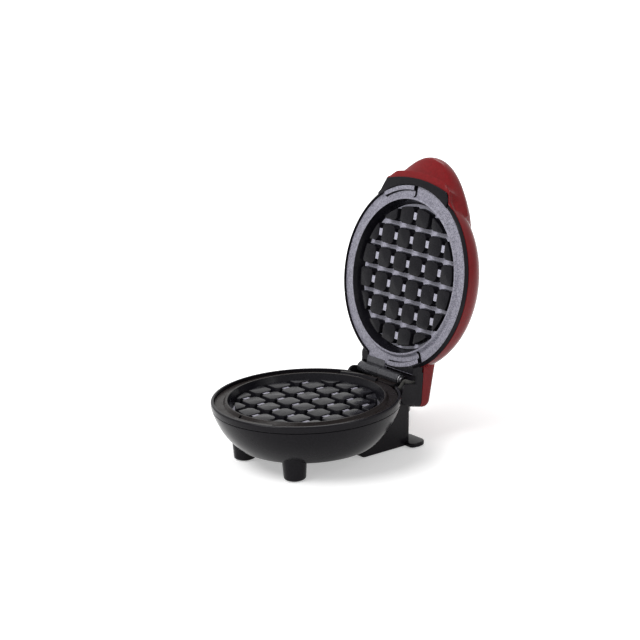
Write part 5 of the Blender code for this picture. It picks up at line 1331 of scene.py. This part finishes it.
def lid_shell():
    shell = turned(dome_profile(0, SHELL_EDGE))
    room_half = TAIL_HALF_WIDTH + GAP
    boss_low = TRAY_BOTTOM + TRAY_BOSS_HEIGHT + GAP
    bosses = []
    holes = []
    for x in (-TAIL_SCREW_X, TAIL_SCREW_X):
        bosses.append(bar(BOSS_RADIUS, (x, TAIL_SCREW_Y, boss_low), (x, TAIL_SCREW_Y, TAIL_TOP - WALL / 2)))
        screw_end = TRAY_BOTTOM + SCREW_HEAD_HEIGHT + TALL_SCREW_LENGTH + GAP
        holes.append(bar(SCREW_SHANK_RADIUS + GAP, (x, TAIL_SCREW_Y, 0), (x, TAIL_SCREW_Y, screw_end)))
    lens_hole = bar(LENS_RADIUS + GAP, (0, 0, -2 * WALL), (0, 0, 2 * WALL))
    lens_hole.data.transform(Matrix.Translation(LENS_CENTRE) @ Matrix.Rotation(LENS_TILT, 4, "X"))
    shaped(
        shell,
        *join(tail_solid(0, 0), hood_solid(0, 0, HOOD_STATIONS)),
        *cut(
            bar(BEZEL_EDGE_RADIUS + GAP, (0, 0, -OVER), (0, 0, SHELL_EDGE), steps=TURN_STEPS),
            bar(BEZEL_STEP_RADIUS + GAP, (0, 0, -OVER), (0, 0, SHELL_STEP), steps=TURN_STEPS),
            box((-room_half, OPENING_START, -OVER), (room_half, HINGE_REACH, SHELL_STEP)),
            turned(dome_profile(WALL, DOME_BASE)),
            tail_solid(WALL, TAIL_HOLLOW_DROP),
            hood_solid(WALL, OVER, 12),
        ),
        *join(*bosses),
        *cut(*holes, lens_hole),
    )
    piece(shell, "red_shell", "lid", "red_plastic", ["lid_shell"], LID)


def tray_solid():
    rings = []
    stations = tail_stations()
    first = (TRAY_STEP_REACH, *stations[0][1:])
    for y, half, _ in (first, *stations):
        top = tail_seam(y) - GAP
        rings.append([(-half, y, TRAY_BOTTOM), (half, y, TRAY_BOTTOM), (half, y, top), (-half, y, top)])
    return loft(rings)


def cheek(sign):
    inner = PEDESTAL_HALF_WIDTH + CHEEK_GAP
    front, back = HINGE_REACH - GAP, TAIL_REACH - TAIL_SIDE_CORNER / 2
    low, corner = -CHEEK_DEPTH, CHEEK_CORNER
    outline = [
        (front, TRAY_BOTTOM + OVER),
        *arc((front + corner, low + corner), corner, 180, 270),
        *arc((back - corner, low + corner), corner, 270, 360),
        (back, TRAY_BOTTOM + OVER),
    ]
    return extruded(outline, "X", *sorted((sign * inner, sign * TAIL_HALF_WIDTH)), CHEEK_EDGE)


def visor_solid():
    outline = []
    half = BRIM_HALF_WIDTH - 2 * BRIM_WALL
    for step in range(21):
        share = step / 10 - 1
        reach = BRIM_REACH - (BRIM_REACH - BRIM_END_REACH) * share**2 - BRIM_WALL - GAP
        outline.append((share * half, -reach))
    back = -UPPER_PLATE_RADIUS * 0.8
    outline = [(-half, back), *outline, (half, back)]
    inner = extruded(outline, "Z", VISOR_BOTTOM, VISOR_BOTTOM + VISOR_THICKNESS)
    outline = []
    for step in range(33):
        x = VISOR_LEFT + (VISOR_RIGHT - VISOR_LEFT) * step / 32
        outline.append((x, -brim_reach(x) + GAP))
    outline = [(VISOR_LEFT, back), *outline, (VISOR_RIGHT, back)]
    face = extruded(outline, "Z", VISOR_FACE, BRIM_FRONT - GAP / 3, GAP / 3)
    return shaped(inner, *join(face))


def inner_housing():
    tip = UPPER_PLATE_RADIUS + GAP
    shelf = FLANGE_ROOT_RADIUS + GAP
    skirt_outer = LID_RADIUS - WALL - 2 * GAP
    skirt_inner = skirt_outer - SKIRT_THICKNESS
    edge, step = SHELL_EDGE - GAP, SHELL_STEP - GAP
    skirt_top = SHELF_BACK + INNER_SKIRT_HEIGHT
    profile = [
        (skirt_inner, skirt_top),
        (skirt_outer, skirt_top),
        (skirt_outer, step),
        (BEZEL_STEP_RADIUS, step),
        (BEZEL_STEP_RADIUS, edge),
        (BEZEL_EDGE_RADIUS, edge, 0.0002),
        (BEZEL_FLARE_RADIUS, BEZEL_FLARE_HEIGHT, 0.0004),
        (tip + BEZEL_TIP_WIDTH, BEZEL_TIP, 0.0003),
        (tip, BEZEL_TIP, 0.0002),
        (tip, SHELF_FACE),
        (shelf, SHELF_FACE),
        (shelf, SHELF_BACK),
        (skirt_inner, SHELF_BACK),
    ]
    housing = turned(rounded(profile), closed=True)
    channel_front = HINGE_REACH - BARREL_RADIUS - CHANNEL_MARGIN
    channel_half = PEDESTAL_HALF_WIDTH + CHEEK_GAP
    channel_top = HINGE_BEHIND_LIP + BARREL_RADIUS + CHANNEL_MARGIN
    channel_back = HINGE_REACH + BARREL_RADIUS + CHANNEL_MARGIN
    inner_half = TAIL_HALF_WIDTH - WALL
    bosses = []
    holes = []
    for x in (-TAIL_SCREW_X, TAIL_SCREW_X):
        y = TAIL_SCREW_Y
        bosses.append(bar(BOSS_RADIUS, (x, y, TRAY_BOTTOM + OVER), (x, y, TRAY_BOTTOM + TRAY_BOSS_HEIGHT)))
        holes.append(bar(SCREW_HEAD_RADIUS + GAP, (x, y, 0), (x, y, TRAY_BOTTOM + SCREW_HEAD_HEIGHT + GAP)))
        holes.append(bar(SCREW_SHANK_RADIUS + GAP, (x, y, 0), (x, y, TAIL_TOP), steps=24))
    sleeve = [(LID_SLEEVE_X, HINGE_REACH, z) for z in (channel_top - OVER, TAIL_TOP)]
    shaped(
        housing,
        *join(
            visor_solid(),
            box((-TAIL_HALF_WIDTH, TRAY_FRONT, TRAY_BOTTOM), (TAIL_HALF_WIDTH, TRAY_STEP_REACH + OVER, step)),
            tray_solid(),
            cheek(-1),
            cheek(1),
        ),
        *cut(
            bar(tip - GAP / 3, (0, 0, -OVER), (0, 0, SHELF_FACE), steps=TURN_STEPS),
            box((-OPENING_HALF_WIDTH, OPENING_START, -OVER), (OPENING_HALF_WIDTH, channel_front + OVER, 3 * SHELF_BACK)),
            box((-channel_half, channel_front, -OVER), (channel_half, channel_back, channel_top)),
            box(
                (-inner_half, channel_back + WALL, TRAY_BOTTOM + TRAY_FLOOR),
                (inner_half, TAIL_REACH - WALL, TAIL_TOP),
            ),
        ),
        *join(*bosses),
        *cut(*holes, bar(SLEEVE_HOLE_RADIUS, *sleeve)),
    )
    piece(housing, "inner_frame", "lid", "black_plastic", ["lid_inner_housing"], LID)


def lens():
    bottom = -LENS_FLANGE_DEPTH - LENS_FLANGE_THICKNESS
    dome = []
    for step in range(8):
        angle = step / 8 * math.pi / 2
        dome.append((LENS_RADIUS * math.sin(angle), LENS_PROUD - 2 * GAP * (1 - math.cos(angle))))
    profile = [
        *dome,
        (LENS_RADIUS, LENS_PROUD - 2 * GAP, 0.0002),
        (LENS_RADIUS, -LENS_FLANGE_DEPTH),
        (LENS_FLANGE_RADIUS, -LENS_FLANGE_DEPTH),
        (LENS_FLANGE_RADIUS, bottom),
        (0, bottom),
    ]
    matrix = LID @ Matrix.Translation(LENS_CENTRE) @ Matrix.Rotation(LENS_TILT, 4, "X")
    cap = turned(rounded(profile, False), SMALL_STEPS)
    piece(cap, "light_lens", "lid", "clear_red", ["indicator_lens"], matrix)


# Leads and mains cord


def sleeves():
    x, y, turn = BASE_SLEEVE_X, BASE_SLEEVE_Y, SLEEVE_DIAMETER
    axis = (HINGE_REACH, HINGE_Z)
    route = (
        (SLEEVE_JOINT_X - GAP / 2, *axis),
        (x + turn / 3, *axis),
        (x, axis[0] - turn / 4, axis[1] - turn / 3),
        (x, axis[0] - turn, axis[1] - turn * 1.2),
        (x, y, PEDESTAL_TOP_Z + turn * 0.4),
        (x, y, PEDESTAL_TOP_Z - WALL),
        (x, y, PEDESTAL_TOP_Z - WALL - 2 * turn),
    )
    points = smooth_points(route, 0.0006)
    tube("sleeve_to_hinge", points, turn, "base", "glass_fibre_sleeve", ["harness_sleeve_base"], BASE)
    x, low = LID_SLEEVE_X, HINGE_BEHIND_LIP
    route = (
        (SLEEVE_JOINT_X + GAP / 2, HINGE_REACH, low),
        (x - turn / 2, HINGE_REACH, low),
        (x - turn / 8, HINGE_REACH, low + turn / 8),
        (x, HINGE_REACH, low + turn / 2),
        (x, HINGE_REACH, low + 3 * turn),
    )
    points = smooth_points(route, 0.0006)
    tube("sleeve_from_hinge", points, turn, "lid", "glass_fibre_sleeve", ["harness_sleeve_lid"], LID)


def strain_relief():
    """The ribbed relief in the pedestal's rear wall. Returns where its inner end is."""
    wall_y = PEDESTAL_FOOT_REACH
    wall_y += (PEDESTAL_TOP_REACH - PEDESTAL_FOOT_REACH) * (RELIEF_Z - FLOOR_Z) / RIM_HEIGHT
    gap = GAP * 2
    start = RELIEF_COLLAR_LENGTH + gap
    length = RELIEF_LENGTH - start
    profile = [(0, RELIEF_LENGTH), (RELIEF_TIP_RADIUS, RELIEF_LENGTH, 0.0003)]
    for number in range(RELIEF_RIBS, 0, -1):
        share = number / (RELIEF_RIBS + 1)
        z = start + length * share
        radius = RELIEF_NECK_RADIUS + GAP + (RELIEF_TIP_RADIUS - RELIEF_NECK_RADIUS - GAP) * share
        groove = radius - 0.0005
        profile += [(radius, z + 0.0006, 0.0001), (groove, z + 0.0004, 0.0001)]
        profile += [(groove, z - 0.0004, 0.0001), (radius, z - 0.0006, 0.0001)]
    profile += [
        (RELIEF_NECK_RADIUS + GAP, start),
        (RELIEF_COLLAR_RADIUS, start, 0.0004),
        (RELIEF_COLLAR_RADIUS, gap, 0.0002),
        (RELIEF_NECK_RADIUS, gap),
        (RELIEF_NECK_RADIUS, -WALL - gap),
        (RELIEF_COLLAR_RADIUS, -WALL - gap, 0.0002),
        (RELIEF_COLLAR_RADIUS, -WALL - gap - RELIEF_FLANGE_LENGTH, 0.0002),
        (0, -WALL - gap - RELIEF_FLANGE_LENGTH),
    ]
    relief = turned(rounded(profile, False, 2), SMALL_STEPS)
    matrix = BASE @ Matrix.Translation((RELIEF_X, wall_y, RELIEF_Z)) @ Matrix.Rotation(-math.pi / 2, 4, "X")
    piece(relief, "ribbed_relief", "base", "cord_jacket", ["cord_strain_relief"], matrix)
    return wall_y - WALL - gap - RELIEF_FLANGE_LENGTH


def mains_tail(relief_back):
    lie = FLOOR_Z + FOOT_LIFT + FOOT_PLATE_THICKNESS + GAP + CORD_DIAMETER / 2
    route = (
        (RELIEF_X, relief_back - CORD_DIAMETER / 2, RELIEF_Z),
        (RELIEF_X * 0.95, CLAMP_Y, lie + CLAMP_RAISE),
        (RELIEF_X * 0.85, CLAMP_Y - CLAMP_WIDTH, lie),
        (RELIEF_X * 0.5, CLAMP_Y - 3 * CLAMP_WIDTH, lie),
    )
    points = [Vector((RELIEF_X, relief_back - GAP, RELIEF_Z)), *smooth_points(route, 0.0015)]
    tube("inner_cord", points, CORD_DIAMETER, "base", "cord_jacket", ["mains_tail"], BASE)


def coil_state(turn):
    flat_turns = (COIL_TURNS - COIL_CLIMB_TURNS) / 2
    outer = COIL_MEAN_RADIUS + COIL_PITCH * flat_turns / 2
    inner = outer - COIL_PITCH * flat_turns
    if turn <= flat_turns:
        return outer - COIL_PITCH * turn, COIL_BOTTOM_Z
    if turn >= flat_turns + COIL_CLIMB_TURNS:
        return inner + COIL_PITCH * (turn - flat_turns - COIL_CLIMB_TURNS), COIL_BOTTOM_Z + COIL_LAYER_HEIGHT
    share = (turn - flat_turns) / COIL_CLIMB_TURNS
    return inner, COIL_BOTTOM_Z + COIL_LAYER_HEIGHT * share**2 * (3 - 2 * share)


def coil_point(turn):
    radius, height = coil_state(turn)
    angle = COIL_START_ANGLE + 2 * math.pi * turn
    return Vector((COIL_CENTRE[0] + radius * math.cos(angle), COIL_CENTRE[1] + radius * math.sin(angle), height))


def coil_direction(turn):
    angle = COIL_START_ANGLE + 2 * math.pi * turn
    return Vector((-math.sin(angle), math.cos(angle), 0))


def mains_cord():
    """The cord on one line: out of its relief, back to the coil, round it and into the plug."""
    count = round(COIL_TURNS * COIL_STEPS_A_TURN)
    loops = [coil_point(COIL_TURNS * step / count) for step in range(count + 1)]
    onward = coil_direction(COIL_TURNS) * COIL_LEAD_OUT
    drop = Vector((0, 0, COIL_LEAD_OUT_DROP))
    lead_out = [loops[-1] + onward * along - drop * down for along, down in LEAD_OUT_SHARES]
    free = smooth_points(CORD_ROUTE, 0.003)
    end = smooth_points([loops[-2], loops[-1], *lead_out], 0.003)
    points = [*free, *loops[:-2], *end]
    cord = tube(
        "mains_cord", points, CORD_DIAMETER, "base", "cord_jacket", ["cord_free", "cord_coil"], WORLD)
    heading = math.atan2(onward.y, onward.x)
    start = lead_out[-1] + onward.normalized() * GAP
    return cord, Matrix.Translation(start) @ Matrix.Rotation(heading, 4, "Z")


def coil_tie():
    low = COIL_BOTTOM_Z - CORD_DIAMETER / 2 - GAP
    high = COIL_BOTTOM_Z + COIL_LAYER_HEIGHT + CORD_DIAMETER / 2 + GAP
    wall = TIE_THICKNESS
    loops = []
    for grow in (0, wall):
        left, right = TIE_INNER_RADIUS - grow, TIE_OUTER_RADIUS + grow
        bottom, top = low - grow, high + grow
        size = TIE_ROUND + grow
        loops.append(rounded([(left, bottom, size), (right, bottom, size), (right, top, size), (left, top, size)]))
    inner, outer = loops
    half, edge = TIE_WIDTH / 2, wall / 4
    bm = bmesh.new()
    rings = []
    for y, outline, other, share in (
        (-half + edge, outer, inner, 0),
        (-half, outer, inner, 0.25),
        (-half, outer, inner, 0.75),
        (-half + edge, outer, inner, 1),
        (half - edge, outer, inner, 1),
        (half, outer, inner, 0.75),
        (half, outer, inner, 0.25),
        (half - edge, outer, inner, 0),
    ):
        ring = []
        for (a, b), (c, d) in zip(outline, other):
            ring.append(bm.verts.new((a + (c - a) * share, y, b + (d - b) * share)))
        rings.append(ring)
    for near, far in zip(rings, [*rings[1:], rings[0]]):
        for i in range(len(near)):
            j = (i + 1) % len(near)
            bm.faces.new((near[i], near[j], far[j], far[i]))
    matrix = Matrix.Translation((*COIL_CENTRE, 0)) @ Matrix.Rotation(TIE_ANGLE, 4, "Z")
    return piece(shape(bm), "coil_band", "base", "rubber", ["cord_tie"], matrix)


def plug(matrix):
    (_, neck_width, neck_thickness), (neck_length, root_width, root_thickness) = PLUG_NECK
    sections = []
    pitch = neck_length / (PLUG_RIBS + 0.5)
    for number in range(PLUG_RIBS):
        for offset, sunk in ((0, 0), (0.5, 0), (0.58, 1), (0.92, 1)):
            along = pitch * (number + offset)
            share = along / neck_length
            width = neck_width + (root_width - neck_width) * share - sunk * PLUG_RIB_DEPTH
            thickness = neck_thickness + (root_thickness - neck_thickness) * share - sunk * PLUG_RIB_DEPTH
            sections.append((along, width, thickness))
    sections += [(neck_length, root_width, root_thickness), *PLUG_BODY]
    rings = []
    for along, half_width, half_thickness in sections:
        ring = []
        for step in range(PLUG_SIDES):
            angle = 2 * math.pi * (step + 0.5) / PLUG_SIDES
            across, up = math.cos(angle), math.sin(angle)
            across = math.copysign(abs(across) ** (2 / PLUG_SECTION_POWER), across)
            up = math.copysign(abs(up) ** (2 / PLUG_SECTION_POWER), up)
            ring.append((along, half_width * across, half_thickness * up))
        rings.append(ring)
    body = loft(rings)
    tip = PLUG_LENGTH + BLADE_LENGTH
    start = PLUG_LENGTH - BLADE_ROOT
    half = BLADE_WIDTH / 2
    pockets = []
    made = []
    for label, side in (("left", 1), ("right", -1)):
        y = side * BLADE_SPACING / 2
        ends = (y - BLADE_THICKNESS / 2, y + BLADE_THICKNESS / 2)
        outline = [
            (start, -half),
            (tip - BLADE_TIP_CHAMFER, -half),
            (tip, -half + BLADE_TIP_CHAMFER),
            (tip, half - BLADE_TIP_CHAMFER),
            (tip - BLADE_TIP_CHAMFER, half),
            (start, half),
        ]
        x = tip - BLADE_HOLE_SETBACK
        hole = bar(BLADE_HOLE_RADIUS, (x, y - OVER, 0), (x, y + OVER, 0), steps=32)
        blade = shaped(extruded(outline, "Y", *ends, BLADE_EDGE), *cut(hole))
        name = f"{label}_blade"
        made.append(piece(blade, name, "base", "blade_metal", [f"plug_blade_{label}"], matrix))
        low = (start - GAP, ends[0] - GAP, -half - GAP)
        pockets.append(box(low, (PLUG_LENGTH + OVER, ends[1] + GAP, half + GAP)))
    shaped(body, *cut(*pockets))
    made.append(piece(body, "moulded_plug", "base", "cord_jacket", ["plug_body"], matrix))
    return made


def finish_hidden_nodes():
    """The pieces inside keep their shapes and get their slot's material."""
    for row in frame["record"]["subparts"]:
        obj = frame["nodes"][row["node"]]
        if obj.hide_render:
            continue
        obj.data.materials.clear()
        obj.data.materials.append(MATERIALS[row["material_slot"]])


set_camera()
set_light()
set_floor()
MATERIALS = make_materials()
cord_piece, plug_frame = mains_cord()
on_cord = [coil_tie(), *plug(plug_frame)]
mains_tail(strain_relief())
sleeves()
base_bowl()
bezel_ring()
bottom_cover()
pedestal()
foot_plate()
pads()
hinge_pin()
lower_knuckle = (-BARREL_RIGHT_X, -BARREL_SPLIT_X - GAP / 2)
# The pale finishes passed to the plates are painted light on their one dark coating; the lower plate's rim keeps
# its own dark brown coat.
waffle_plate(
    "lower_grid", "lower_plate", "base", LOWER, LOWER_PLATE_RADIUS, lower_knuckle, lower_knuckle, "coat_rim",
    "coat_painted_light")
upper_knuckle = (BARREL_LEFT_X, BARREL_SPLIT_X - GAP / 2)
upper_tongue = (-TONGUE_HALF_WIDTH, TONGUE_HALF_WIDTH)
waffle_plate(
    "upper_grid", "upper_plate", "lid", LID, UPPER_PLATE_RADIUS, upper_knuckle, upper_tongue, "coat_painted_light",
    "coat_painted_brighter_light")
lid_shell()
inner_housing()
lens()
screws()
finish_hidden_nodes()

bpy.context.scene.view_settings.view_transform = "Standard"
